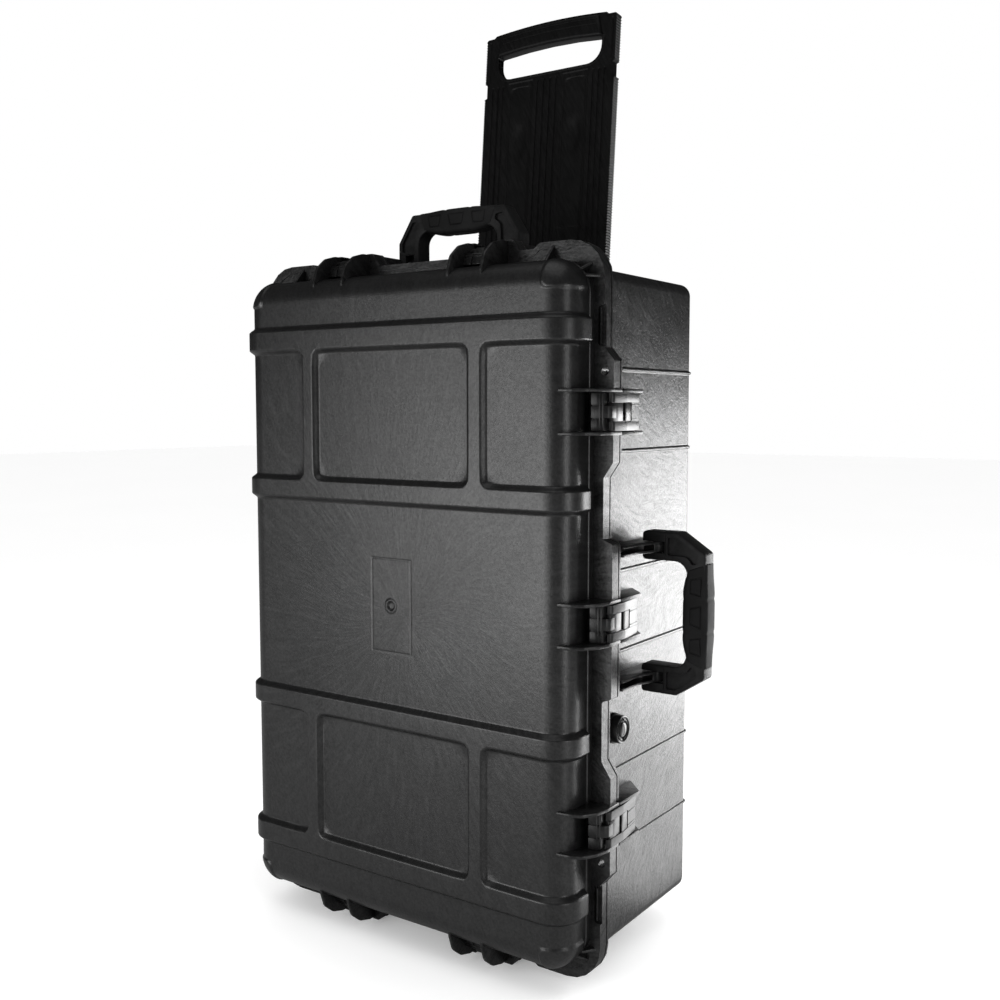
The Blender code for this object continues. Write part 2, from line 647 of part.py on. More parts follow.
# --- Folding handles ---
def handle(name, base, turn):
    """A handle drawn sticking out along +X from its pivot, then turned to its side of the case."""
    swing = axis_empty(f"{name}_axis", turn.to_translation())
    swing.parent = base
    local = Matrix.Translation(-turn.to_translation()) @ turn
    reach, heel = HANDLE_REACH, -0.0158
    cheek_in, cheek_out = 0.0589, 0.0908
    outline = rounded((
        (heel, -cheek_out, 0.004), (0.0270, -cheek_out, 0.006), (reach - 0.005, -0.0690, 0.010),
        (reach - 0.0025, 0.0, 0.0), (reach - 0.005, 0.0690, 0.010), (0.0270, cheek_out, 0.006),
        (heel, cheek_out, 0.004), (heel, cheek_in, 0.004), (0.0215, cheek_in, 0.006),
        (0.0350, 0.0450, 0.006), (0.0350, -0.0450, 0.006), (0.0215, -cheek_in, 0.006),
        (heel, -cheek_in, 0.004),
    ), 2)
    frame = prism([(a, b) for a, b in outline], "Y", -0.0115, 0.0115, f"{name}_frame")
    for sign in (1, -1):
        low = sign * HANDLE_ARM - HANDLE_ARM_HALF - 0.0006
        high = sign * HANDLE_ARM + HANDLE_ARM_HALF + 0.0006
        cut(frame, box((-0.03, -0.02, low), (0.0120, 0.02, high)))
        for side in (-1, 1):
            web = (
                (0.0165, sign * 0.0650), (0.0260, sign * 0.0650), (0.0400, sign * 0.0560),
                (0.0500, sign * 0.0620), (0.0480, sign * 0.0670), (0.0270, sign * 0.0840),
                (0.0165, sign * 0.0840),
            )
            y = sorted((side * 0.0060, side * 0.02))
            cut(frame, prism(web, "Y", *y))
    thinner = 0.0025
    for side in (-1, 1):
        y = sorted((side * 0.0090, side * 0.02))
        cut(frame, box((0.0, y[0], -0.0530), (0.09, y[1], 0.0530)))
    cut(frame, box((reach - 0.0050, -0.02, -0.0530), (0.09, 0.02, 0.0530)))
    cut(frame, box((0.0, -0.02, -0.0530), (0.0350 + thinner, 0.02, 0.0530)))
    cut(frame, rod("Z", (0.0, 0.0), HANDLE_PIN_R + GAP, -0.0895, 0.0895, 12))

    grip = grip_sleeve(f"{name}_grip", thinner)
    pins = []
    for sign, end in ((1, "a"), (-1, "b")):
        ends = sorted((sign * 0.0602, sign * 0.0888))
        pins.append(rod("Z", (0.0, 0.0), HANDLE_PIN_R, *ends, 12, name=f"{name}_pin_{end}"))
    for obj, slot in ((frame, "handle"), (grip, "rubber"), (pins[0], "steel"), (pins[1], "steel")):
        obj.data.transform(local)
        finish(obj, slot, swing, smooth=35)


def grip_sleeve(name, thinner):
    """The soft sleeve moulded round the middle of the bar."""
    half = 0.0525
    outer = rounded((
        (0.0335, -0.0135, 0.007), (HANDLE_REACH, -0.0135, 0.009),
        (HANDLE_REACH, 0.0135, 0.009), (0.0335, 0.0135, 0.007),
    ), 3)
    sleeve = prism(outer, "Z", -half, half, name)
    hole = box(
        (0.0350 + thinner - GAP, -0.0090 - GAP, -0.10),
        (HANDLE_REACH - 0.0050 + GAP, 0.0090 + GAP, 0.10),
    )
    return cut(sleeve, hole)


def side_handle_turn():
    return Matrix.Translation((BASE_HALF_X + HANDLE_PIVOT_OUT, SIDE_PIVOT_Y, 0.0))


def top_handle_turn():
    turn = Matrix(((0, 0, -1, 0), (0, 1, 0, 0), (1, 0, 0, 0), (0, 0, 0, 1)))
    return Matrix.Translation((0.0, TOP_PIVOT_Y, BASE_HALF_Z + HANDLE_PIVOT_OUT)) @ turn


# --- Hinge pins ---
def hinge_pins(parent):
    for name, z in zip(("upper", "middle", "lower"), HINGE_Z):
        pin = rod(
            "Z", (HINGE_X, HINGE_Y), HINGE_PIN_R, z - 0.0240, z + 0.0240, 12,
            name=f"hinge_pin_{name}",
        )
        finish(pin, "steel", parent, smooth=30)


# --- Trolley ---
LEAN = math.atan(TROLLEY_SLOPE)
LEANED = Matrix.Translation((0.0, TROLLEY_Y, TROLLEY_Z)) @ Matrix.Rotation(-LEAN, 4, "X")


def trolley_space(clear, low, high):
    """The leaning space that the panel slides in, as a cutter."""
    x, y = PANEL_HALF_X + clear, PANEL_HALF_Y + clear
    space = box((-x, -y, low), (x, y, high))
    space.data.transform(LEANED)
    return space


def trolley_trough():
    """A shallow bulge inside the back wall, behind which the panel's lower end parks."""
    outline = (
        (BASE_BACK - 0.0005, -0.045), (0.2690, -0.030), (0.2700, 0.020), (0.2835, 0.180),
        (BASE_BACK - 0.0005, 0.185),
    )
    half = PANEL_HALF_X + 0.006
    return prism(outline, "X", -half, half)


def trolley_housing(parent):
    """The wedge-shaped cover on the back that guides the panel, open at its top."""
    front, back_off = BASE_BACK + GAP, 0.0118
    low, high = -0.034, 0.372

    def channel_y(z, off):
        return TROLLEY_Y + (z - TROLLEY_Z) * TROLLEY_SLOPE + off

    outline = (
        (front, low - 0.008), (channel_y(low, back_off) - 0.003, low - 0.002),
        (channel_y(low, back_off), low + 0.006), (channel_y(high, back_off), high), (front, high),
    )
    housing = prism(outline, "X", -0.121, 0.121, "trolley_housing")
    pocket = (
        (front - 0.01, 0.215), (channel_y(0.215, -0.0105), 0.215),
        (channel_y(0.360, -0.0105), 0.360), (front - 0.01, 0.360),
    )
    cut(housing, prism(pocket, "X", -0.113, 0.113))
    cut(housing, trolley_space(GAP + 0.0012, CHANNEL_LOW, 0.10))
    notch = prism(rounded((
        (-0.070, 0.340, 0.012), (0.070, 0.340, 0.012), (0.070, 0.40), (-0.070, 0.40),
    ), 4), "Y", TROLLEY_Y - 0.004, 0.36)
    cut(housing, notch)
    bore = rod("Y", (0.0, BUTTON_LOCAL_Z), BUTTON_R + GAP, 0.0, 0.03, 20)
    bore.data.transform(LEANED)
    cut(housing, bore)
    for groove in (-0.095, -0.055, 0.055, 0.095):
        line = box((groove - 0.004, 0.0108, -0.435), (groove + 0.004, 0.03, -0.060))
        line.data.transform(LEANED)
        cut(housing, line)
    finish(housing, "trolley", parent, smooth=35)


BUTTON_R, BUTTON_LOCAL_Z = 0.009, -0.110


def trolley_button(parent):
    """The release button in the housing's rear wall."""
    inner = 0.0092
    button = turned(
        ((0.0, inner), (BUTTON_R, inner), (BUTTON_R, 0.0140), (BUTTON_R - 0.0015, 0.0155),
         (0.0, 0.0155)),
        (0.0, 0.0, BUTTON_LOCAL_Z), "Y", 20, "trolley_release_button",
    )
    bm = bmesh.new()
    bm.from_mesh(button.data)
    bmesh.ops.remove_doubles(bm, verts=bm.verts, dist=1e-5)
    bmesh.ops.dissolve_degenerate(bm, edges=bm.edges, dist=1e-6)
    bmesh.ops.recalc_face_normals(bm, faces=bm.faces)
    bm.to_mesh(button.data)
    bm.free()
    button.data.transform(LEANED)
    finish(button, "trolley", parent, smooth=30)


def trolley_panel(base):
    """The pull-out panel with its hand slot, arched grip and ribbed face."""
    slide = axis_empty("trolley_axis", (0.0, TROLLEY_Y, TROLLEY_Z), (-LEAN, 0.0, 0.0))
    slide.parent = base
    x = PANEL_HALF_X
    right = [
        (x, PANEL_LOW), (x, 0.2405), (x - 0.004, 0.2420), (x - 0.004, 0.2605), (x, 0.2620),
        (x, 0.3215), (x - 0.003, 0.3230), (x - 0.0125, 0.3232), (x - 0.0160, 0.3262),
    ]
    arch = []
    for k in range(1, 8):
        share = 1 - k / 4
        arch.append((share * (x - 0.016), PANEL_TOP - share * share * (PANEL_TOP - 0.3262)))
    outline = right + arch + [(-a, b) for a, b in reversed(right)]
    panel = prism(outline, "Y", -PANEL_HALF_Y, PANEL_HALF_Y, "trolley_panel")
    join(panel, grip_bar(arch))
    slot = rounded((
        (-GRIP_SLOT_HALF, 0.2630, 0.020), (GRIP_SLOT_HALF, 0.2630, 0.020),
        (GRIP_SLOT_HALF, 0.2960), (0.0400, 0.2995), (0.0, 0.3006), (-0.0400, 0.2995),
        (-GRIP_SLOT_HALF, 0.2960),
    ), 4)
    cut(panel, prism(slot, "Y", -0.03, 0.03))
    for centre in (-0.0425, 0.0425):
        for side in (-1, 1):
            y = sorted((side * (PANEL_HALF_Y - 0.0020), side * 0.02))
            column = box((centre - 0.0185, y[0], PANEL_LOW + 0.012), (centre + 0.0185, y[1], 0.238))
            cut(panel, column)
    for sign in (-1, 1):
        for groove in (0.0045, 0.0140, 0.0730, 0.0815, 0.0900):
            centre = sign * groove
            for side in (-1, 1):
                y = sorted((side * (PANEL_HALF_Y - 0.0016), side * 0.02))
                line = box((centre - 0.0016, y[0], PANEL_LOW - 0.01), (centre + 0.0016, y[1], 0.240))
                cut(panel, line)
    finish(panel, "trolley", slide, smooth=30)


def grip_bar(arch):
    """The thicker rounded bar across the top of the panel."""
    end = GRIP_SLOT_HALF
    low = [(-end, 0.2960), (-0.0400, 0.2995), (0.0, 0.3006), (0.0400, 0.2995), (end, 0.2960)]
    upper = [(a, b - 0.0020) for a, b in arch if abs(a) < end]
    bar = prism(low + upper, "Y", -0.0100, 0.0100)
    bm = bmesh.new()
    bm.from_mesh(bar.data)
    long_edges = [
        e for e in bm.edges
        if abs((e.verts[0].co - e.verts[1].co).y) < 1e-6
        and abs((e.verts[0].co - e.verts[1].co).x) > 0.01
    ]
    bmesh.ops.bevel(bm, geom=long_edges, offset=0.005, segments=2, profile=0.5, affect="EDGES")
    bmesh.ops.recalc_face_normals(bm, faces=bm.faces)
    bm.to_mesh(bar.data)
    bm.free()
    return bar


# --- Wheels ---
AXLE_R = 0.004
HUB_R = 0.026


def wheel(side, base):
    sign = 1 if side == "right" else -1
    centre = (sign * WHEEL_X, WHEEL_Y, WHEEL_Z)
    spin = axis_empty(f"wheel_{side}_axis", centre)
    spin.parent = base
    half = WHEEL_HALF
    tyre = turned((
        (HUB_R + GAP, -half + 0.002), (WHEEL_R - 0.004, -half), (WHEEL_R, -half + 0.005),
        (WHEEL_R, half - 0.005), (WHEEL_R - 0.004, half), (HUB_R + GAP, half - 0.002),
    ), (0.0, 0.0, 0.0), "X", 36, f"wheel_{side}_tyre")
    finish(tyre, "tyre", spin, smooth=40)
    bore = AXLE_R + GAP
    hub = turned((
        (bore, -half + 0.0005), (0.0085, -half + 0.0005), (0.0095, -half + 0.005),
        (HUB_R - 0.005, -half + 0.005), (HUB_R - 0.0035, -half + 0.001),
        (HUB_R, -half + 0.001), (HUB_R, half - 0.001), (HUB_R - 0.0035, half - 0.001),
        (HUB_R - 0.005, half - 0.005), (0.0095, half - 0.005), (0.0085, half - 0.0005),
        (bore, half - 0.0005),
    ), (0.0, 0.0, 0.0), "X", 24, f"wheel_{side}_hub")
    finish(hub, "handle", spin, smooth=40)
    ends = sorted((sign * (WHEEL_X - half - 0.0080), sign * (WHEEL_X + half + 0.0080)))
    axle = rod("X", (WHEEL_Y, WHEEL_Z), AXLE_R, *ends, 16, name=f"wheel_{side}_axle")
    finish(axle, "steel", base, smooth=30)


# --- Pressure valve ---
def valve(base):
    """Flanged valve body through the side wall, its screw knob outside and its nut inside."""
    wall = BASE_HALF_X
    body = rod("X", (VALVE_Y, VALVE_Z), VALVE_R, wall + GAP, wall + 0.0042, 24, name="valve_body")
    join(body, rod("X", (VALVE_Y, VALVE_Z), 0.0100, wall - 0.0155, wall + 0.002, 16))
    join(body, rod("X", (VALVE_Y, VALVE_Z), 0.0060, wall + 0.002, wall + 0.0085, 12))
    finish(body, "handle", base, smooth=35)

    spin = axis_empty("valve_axis", (wall, VALVE_Y, VALVE_Z))
    spin.parent = base
    knob = turned((
        (0.0063, 0.0045), (0.0155, 0.0045), (0.0165, 0.0055), (0.0165, 0.0105),
        (0.0150, 0.0120), (0.0115, 0.0120), (0.0105, 0.0108), (0.0063, 0.0108),
    ), (0.0, 0.0, 0.0), "X", 24, "valve_knob")
    for k in range(4):
        t = math.pi * (k + 0.5) / 2
        notch = rod("X", (0.0182 * math.cos(t), 0.0182 * math.sin(t)), 0.003, 0.003, 0.014, 8)
        cut(knob, notch)
    finish(knob, "handle", spin, smooth=35)

    nut = rod("X", (VALVE_Y, VALVE_Z), 0.0150, wall - 0.0125, wall - WALL - GAP, 6, name="valve_nut")
    cut(nut, rod("X", (VALVE_Y, VALVE_Z), 0.0100 + GAP, 0.20, 0.24, 16))
    finish(nut, "handle", base, smooth=30)


def main():
    clear_scene()
    base = axis_empty("case_frame", -ORIGIN)
    base_shell(base)
    lid_shell(base)
    lid_seal(base)
    hinge_pins(base)
    for place in latch_places():
        latch(place, base)
    handle("side_handle", base, side_handle_turn())
    handle("top_handle", base, top_handle_turn())
    trolley_housing(base)
    trolley_panel(base)
    trolley_button(base)
    wheel("left", base)
    wheel("right", base)
    valve(base)


main()
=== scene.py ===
"""Looks of the wheeled hard equipment case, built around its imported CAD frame.

Pieces are drawn in the case frame: X across the lid, Y from the lid's face to the back, Z up from
the middle of the case. on_case() moves them to the row frame, whose origin is on the floor."""

import json
import math

import bmesh
import bpy
import numpy as np
from mathutils import Matrix, Vector


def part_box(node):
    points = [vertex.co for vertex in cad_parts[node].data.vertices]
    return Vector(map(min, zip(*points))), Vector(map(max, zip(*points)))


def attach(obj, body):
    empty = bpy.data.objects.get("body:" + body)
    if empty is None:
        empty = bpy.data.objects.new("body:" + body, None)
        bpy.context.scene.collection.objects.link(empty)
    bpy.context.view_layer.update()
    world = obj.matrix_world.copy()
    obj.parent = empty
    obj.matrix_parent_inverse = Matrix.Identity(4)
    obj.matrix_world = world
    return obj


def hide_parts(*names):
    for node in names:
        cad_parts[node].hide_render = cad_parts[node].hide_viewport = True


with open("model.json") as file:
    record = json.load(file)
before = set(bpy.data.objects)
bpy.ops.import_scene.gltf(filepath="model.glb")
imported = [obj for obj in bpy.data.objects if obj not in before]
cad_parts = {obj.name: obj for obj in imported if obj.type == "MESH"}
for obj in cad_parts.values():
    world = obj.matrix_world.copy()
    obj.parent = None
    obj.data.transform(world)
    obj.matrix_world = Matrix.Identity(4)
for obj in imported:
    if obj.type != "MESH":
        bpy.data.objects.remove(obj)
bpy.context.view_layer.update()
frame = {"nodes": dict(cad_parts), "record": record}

# --- Places taken from the frame ---
HINGE_X, HINGE_Y = -0.262, 0.0687            # the hinge pins' axis in the case frame
pin_low, pin_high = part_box("hinge_pin_middle")
CASE = (Vector(pin_low) + Vector(pin_high)) / 2 - Vector((HINGE_X, HINGE_Y, 0.0))

# --- Driving sizes of the shells ---
WALL = 0.004
PART_Y, GAP = 0.0687, 0.0003
LID_HALF_X, LID_HALF_Z, LID_EDGE, LID_FACE_ROUND = 0.2335, 0.381, 0.034, 0.028
BASE_HALF_X, BASE_HALF_Z, BASE_EDGE, BASE_BACK_ROUND = 0.238, 0.376, 0.015, 0.011
BASE_BACK = 0.288
BAND_PROUD, PAD_PROUD = 0.0065, 0.0018
BANDS = ((0.118, 0.143), (0.2945, 0.322))
POST_X = (0.112, 0.1325)
PAD_X, PAD_Z = 0.2027, 0.3500
BAND_END_Y = 0.046
RIM_FRONT, RIM_BACK = 0.0545, 0.0775
RIM_HALF_X, RIM_WIDE_X, RIM_HALF_Z, RIM_CORNER = 0.249, 0.2586, 0.4045, 0.042
RIM_TUCK = 0.0018
PART_GROOVE, PART_SUNK = 0.0006, 0.0016          # the parting line's half width and depth
STATION_TOP, FLOOR = 0.411, -0.4145
BAY_X, BAY_Z, BAY_HALF = 0.2430, 0.3840, 0.0205
RIB_Z, RIB_SHIFT = (0.045, 0.177, 0.2665), 0.0025
LATCH_X, LATCH_Z = 0.2405, 0.381
SIDE_LATCH_Z = (0.2228, 0.0, -0.2228)
END_LATCH_X = (-0.1001, 0.1001)
FIN_OFFSET, FIN_THICK, END_FIN_SCALE = 0.0224, 0.0038, 1.35
PADLOCK_X, PADLOCK_Z, PADLOCK_R = 0.2478, 0.2655, 0.0047


# --- Node materials ---
class Graph:
    """A short way to write shader nodes."""

    def __init__(self, name):
        self.material = bpy.data.materials.new(name)
        self.material.use_nodes = True
        self.nodes = self.material.node_tree.nodes
        self.links = self.material.node_tree.links
        self.shader = self.nodes["Principled BSDF"]

    def feed(self, socket, value):
        """Link a node's output to a socket, or set the socket's own value."""
        if isinstance(value, bpy.types.NodeSocket):
            self.links.new(value, socket)
        else:
            socket.default_value = value

    def add(self, kind, inputs=(), **settings):
        node = self.nodes.new(kind)
        for key, value in settings.items():
            setattr(node, key, value)
        for socket, value in dict(inputs).items():
            self.feed(node.inputs[socket], value)
        return node

    def math(self, operation, a, b=0.0):
        return self.add("ShaderNodeMath", {0: a, 1: b}, operation=operation).outputs[0]

    def plus(self, a, b):
        return self.math("ADD", a, b)

    def times(self, a, b):
        return self.math("MULTIPLY", a, b)

    def vector(self, operation, a, b=(0.0, 0.0, 0.0)):
        node = self.add("ShaderNodeVectorMath", {0: a, 1: b}, operation=operation)
        return node.outputs[0]

    def position(self):
        return self.add("ShaderNodeTexCoord").outputs["Object"]

    def noise(self, where, scale, detail=3.0, roughness=0.5, distortion=0.0):
        node = self.add("ShaderNodeTexNoise", {
            "Vector": where, "Scale": scale, "Detail": detail, "Roughness": roughness,
            "Distortion": distortion,
        })
        return node.outputs["Fac"]

    def spread(self, value, low, high, to_low=0.0, to_high=1.0):
        node = self.add("ShaderNodeMapRange", {
            "Value": value, "From Min": low, "From Max": high, "To Min": to_low, "To Max": to_high,
        })
        return node.outputs["Result"]

    def mix(self, factor, one, other):
        return self.add("ShaderNodeMix", {0: factor, 6: one, 7: other}, data_type="RGBA").outputs[2]

    def bump(self, height, strength, distance, under=None):
        inputs = {"Height": height, "Strength": strength, "Distance": distance}
        if under is not None:
            inputs["Normal"] = under
        return self.add("ShaderNodeBump", inputs).outputs["Normal"]

    def surface(self, **sockets):
        for name, value in sockets.items():
            self.feed(self.shader.inputs[name.replace("_", " ")], value)
        return self.material


def grey(level):
    return (level, level, level * 1.02, 1.0)


def streaks(g, where, run):
    """Fine hair-like flow lines in the plastic. run stretches them along one direction."""
    turned = g.add("ShaderNodeVectorRotate", {"Vector": where, "Angle": 0.5, "Axis": (0.3, 1.0, 0.2)})
    fine = g.noise(g.vector("MULTIPLY", turned.outputs[0], run), 1.0, 6.0, 0.66, 0.35)
    return g.spread(fine, 0.36, 0.68)


def from_gate(g, along, up):
    """Angle and distance of a point from a moulding gate, for streaks that radiate from it."""
    reach = g.math("SQRT", g.plus(g.times(along, along), g.times(up, up)))
    return g.math("ARCTAN2", up, along), reach


def speckles(g, where):
    return g.spread(g.noise(where, 330.0, 2.0, 0.6), 0.34, 0.66)


def grained(g, where, pit_depth, speckle, speckle_lift, flow, flow_lift):
    """Spark-eroded pits under raised speckles and streaks. A lift is (strength, distance)."""
    normal = g.bump(g.noise(where, 850.0, 3.0, 0.7), 0.50, pit_depth)
    normal = g.bump(speckle, *speckle_lift, normal)
    return g.bump(flow, *flow_lift, normal)


def moulded(name, level, rough, run, shine=(0.42, 0.58)):
    """Black moulded plastic: spark-eroded grain, flow streaks and faint scuffs."""
    g = Graph(name)
    where = g.position()
    flow = streaks(g, where, run)
    cloud = g.noise(where, 9.0, 3.0)
    scuff = g.spread(g.noise(where, 70.0, 4.0, 0.65, 1.2), 0.60, 0.75)
    shade = g.times(flow, g.spread(cloud, 0.3, 0.7, 0.25, 1.0))
    colour = g.mix(shade, grey(level), grey(level * 1.6))
    colour = g.mix(g.times(scuff, 0.35), colour, grey(level * 2.2))
    roughness = g.plus(g.times(flow, 0.09), g.spread(cloud, 0.3, 0.7, rough - 0.05, rough + 0.04))
    normal = g.bump(g.noise(where, 900.0, 3.0, 0.7), 0.50, 0.00020)
    normal = g.bump(flow, 0.10, 0.0002, normal)
    gloss = g.spread(flow, 0.0, 1.0, *shine)
    return g.surface(Base_Color=colour, Roughness=roughness, Specular_IOR_Level=gloss, Normal=normal)


def base_plastic():
    """The base's plastic: streaks run from the moulding gate in its back round onto the sides."""
    g = Graph("shell_base")
    where = g.position()
    place = g.add("ShaderNodeSeparateXYZ", {0: g.vector("SUBTRACT", where, tuple(CASE))}).outputs
    warp = g.spread(g.noise(where, 3.5, 2.0), 0.3, 0.7, -0.05, 0.05)
    along = g.plus(g.math("SUBTRACT", 0.56, place["Y"]), warp)
    angle, reach = from_gate(g, along, g.plus(place["Z"], warp))
    polar = g.add("ShaderNodeCombineXYZ", {
        0: g.times(angle, 70.0), 1: g.times(reach, 40.0), 2: g.times(place["X"], 25.0),
    }).outputs[0]
    flow = g.spread(g.noise(polar, 1.0, 6.0, 0.70, 0.6), 0.36, 0.70)
    flow = g.times(flow, g.spread(place["Y"], 0.262, 0.287, 1.0, 0.35))
    speckle = speckles(g, where)
    cloud = g.noise(where, 14.0, 3.0, 0.6)
    flecks = g.times(flow, g.spread(cloud, 0.35, 0.65, 0.35, 1.0))
    colour = g.mix(flecks, grey(0.0040), grey(0.0100))
    roughness = g.plus(g.times(speckle, 0.05), g.spread(cloud, 0.3, 0.7, 0.28, 0.36))
    gloss = g.plus(g.plus(g.times(flecks, 0.46), g.times(speckle, 0.22)), 0.18)
    normal = grained(g, where, 0.00024, speckle, (0.30, 0.0003), flow, (0.30, 0.0005))
    return g.surface(Base_Color=colour, Roughness=roughness, Specular_IOR_Level=gloss, Normal=normal)


def lid_plastic():
    """The lid's plastic: streaks run outwards from the moulding gate in the middle of its face."""
    g = Graph("shell_lid")
    where = g.position()
    warp = g.add("ShaderNodeTexNoise", {"Vector": where, "Scale": 3.2, "Detail": 2.0}).outputs["Color"]
    warp = g.vector("MULTIPLY", g.vector("SUBTRACT", warp, (0.5, 0.5, 0.5)), (0.10, 0.0, 0.10))
    bent = g.vector("ADD", g.vector("SUBTRACT", where, tuple(CASE)), warp)
    place = g.add("ShaderNodeSeparateXYZ", {0: bent}).outputs
    angle, reach = from_gate(g, place["X"], place["Z"])
    polar = g.add("ShaderNodeCombineXYZ", {0: g.times(angle, 34.0), 1: g.times(reach, 26.0)}).outputs[0]
    radial = g.spread(g.noise(polar, 1.0, 6.0, 0.68, 0.5), 0.38, 0.70)
    crossed = streaks(g, where, (330.0, 60.0, 70.0))
    near = g.spread(reach, 0.03, 0.34, 1.0, 0.50)
    flow = g.math("MAXIMUM", g.times(radial, near), g.times(crossed, 0.45))
    cloud = g.noise(where, 7.0, 3.0)
    colour = g.mix(flow, grey(0.0040), grey(0.0120))
    colour = g.mix(g.spread(cloud, 0.45, 0.8, 0.0, 0.5), colour, grey(0.0055))
    roughness = g.plus(g.times(flow, 0.08), g.spread(cloud, 0.3, 0.7, 0.29, 0.35))
    speckle = speckles(g, where)
    gloss = g.plus(g.spread(flow, 0.0, 1.0, 0.36, 0.54), g.times(speckle, 0.14))
    normal = grained(g, where, 0.00022, speckle, (0.20, 0.0002), flow, (0.22, 0.0004))
    return g.surface(Base_Color=colour, Roughness=roughness, Specular_IOR_Level=gloss, Normal=normal)


def soft_rubber(name, level, rough):
    g = Graph(name)
    where = g.position()
    dust = g.spread(g.noise(where, 26.0, 4.0, 0.6), 0.42, 0.72)
    colour = g.mix(dust, grey(level), grey(level * 1.9))
    pits = g.noise(where, 900.0, 3.0, 0.7)
    roughness = g.spread(dust, 0.0, 1.0, rough - 0.06, rough + 0.06)
    return g.surface(
        Base_Color=colour, Roughness=roughness, Normal=g.bump(pits, 0.45, 0.00015),
        Specular_IOR_Level=0.11,
    )


def turned_steel(name):
    g = Graph(name)
    where = g.position()
    lines = g.noise(g.vector("MULTIPLY", where, (900.0, 900.0, 900.0)), 1.0, 4.0, 0.6)
    stain = g.noise(where, 60.0, 3.0)
    colour = g.mix(g.spread(stain, 0.4, 0.7), (0.56, 0.56, 0.57, 1.0), (0.42, 0.42, 0.43, 1.0))
    roughness = g.spread(lines, 0.2, 0.8, 0.22, 0.38)
    return g.surface(Base_Color=colour, Roughness=roughness, Metallic=1.0, Normal=g.bump(lines, 0.12, 0.0001))


def floor_finish():
    g = Graph("studio_floor")
    where = g.position()
    cloud = g.noise(where, 1.4, 4.0, 0.55)
    colour = g.mix(cloud, (0.86, 0.86, 0.86, 1.0), (0.90, 0.90, 0.90, 1.0))
    g.surface(Base_Color=colour, Roughness=0.70, Emission_Color=(1.0, 1.0, 1.0, 1.0), Emission_Strength=0.20)
    dull = g.add("ShaderNodeBsdfDiffuse", {"Color": (0.38, 0.38, 0.38, 1.0)})
    seen = g.add("ShaderNodeLightPath")
    choose = g.add("ShaderNodeMixShader", {
        0: seen.outputs["Is Glossy Ray"], 1: g.shader.outputs[0], 2: dull.outputs[0],
    })
    g.links.new(choose.outputs[0], g.nodes["Material Output"].inputs["Surface"])
    return g.material


SHELL = base_plastic()
LID = lid_plastic()
LATCH = moulded("latch_plastic", 0.0045, 0.30, (300.0, 60.0, 60.0), (0.28, 0.42))
HANDLE = moulded("handle_plastic", 0.0055, 0.46, (90.0, 300.0, 90.0), (0.09, 0.18))
TROLLEY = moulded("trolley_plastic", 0.0020, 0.42, (320.0, 320.0, 30.0), (0.12, 0.20))
RUBBER = soft_rubber("grip_rubber", 0.0050, 0.72)
TYRE = soft_rubber("tyre_rubber", 0.0120, 0.74)
SEAL = soft_rubber("seal_foam", 0.0300, 0.85)
STEEL = turned_steel("pin_steel")


# --- Mesh helpers ---
def mesh_object(name, bm):
    bmesh.ops.recalc_face_normals(bm, faces=bm.faces)
    mesh = bpy.data.meshes.new(name)
    bm.to_mesh(mesh)
    bm.free()
    obj = bpy.data.objects.new(name, mesh)
    bpy.context.scene.collection.objects.link(obj)
    return obj


def smooth(obj, angle):
    obj.data.shade_smooth()
    obj.data.set_sharp_from_angle(angle=math.radians(angle))


def soften(obj, width, angle):
    """Round every sharp edge a little, as a moulded part's are."""
    step = obj.modifiers.new("edges", "BEVEL")
    step.width = width
    step.segments = 2
    step.limit_method = "ANGLE"
    step.angle_limit = math.radians(angle)
    step.use_clamp_overlap = True


def on_case(obj, body, slot, finish, *replaced):
    """Move a piece from the case frame to the row frame and hang it on its body."""
    obj.data.transform(Matrix.Translation(CASE))
    obj.data.materials.clear()
    obj.data.materials.append(finish)
    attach(obj, body)
    if replaced:
        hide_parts(*replaced)
    return obj


def finish_piece(obj, body, slot, finish, *replaced, sharp=40.0, width=0.0, angle=40.0):
    """Shade a piece, round its edges by width if one is given, and hang it on its body."""
    smooth(obj, sharp)
    if width:
        soften(obj, width, angle)
    return on_case(obj, body, slot, finish, *replaced)


def rounded(points, segments=4):
    """An outline from corners (a, b) or (a, b, radius): a corner with a radius becomes an arc."""
    out = []
    count = len(points)
    for i, point in enumerate(points):
        corner = Vector(point[:2])
        radius = point[2] if len(point) > 2 else 0.0
        if radius == 0.0:
            out.append(tuple(corner))
            continue
        before = (Vector(points[i - 1][:2]) - corner).normalized()
        after = (Vector(points[(i + 1) % count][:2]) - corner).normalized()
        half = before.angle(after) / 2
        centre = corner + (before + after).normalized() * (radius / math.sin(half))
        start = corner + before * (radius / math.tan(half)) - centre
        sweep = start.angle_signed(corner + after * (radius / math.tan(half)) - centre)
        for k in range(segments + 1):
            out.append(tuple(centre + Matrix.Rotation(-sweep * k / segments, 2) @ start))
    return out


def band(bm, first, second):
    """Faces between two closed rings of vertices."""
    for i in range(len(first)):
        j = (i + 1) % len(first)
        bm.faces.new((first[i], first[j], second[j], second[i]))


def sheet(bm, grid_x, grid_y, grid_z):
    """Vertices at three grids of coordinates, with faces between them."""
    across, up = grid_x.shape
    points = [
        [bm.verts.new((grid_x[i, j], grid_y[i, j], grid_z[i, j])) for j in range(up)] for i in range(across)
    ]
    for i in range(across - 1):
        for j in range(up - 1):
            bm.faces.new((points[i][j], points[i + 1][j], points[i + 1][j + 1], points[i][j + 1]))
    return points


PLACE = {
    "X": lambda a, b, c: (c, a, b),
    "Y": lambda a, b, c: (a, c, b),
    "Z": lambda a, b, c: (a, b, c),
}


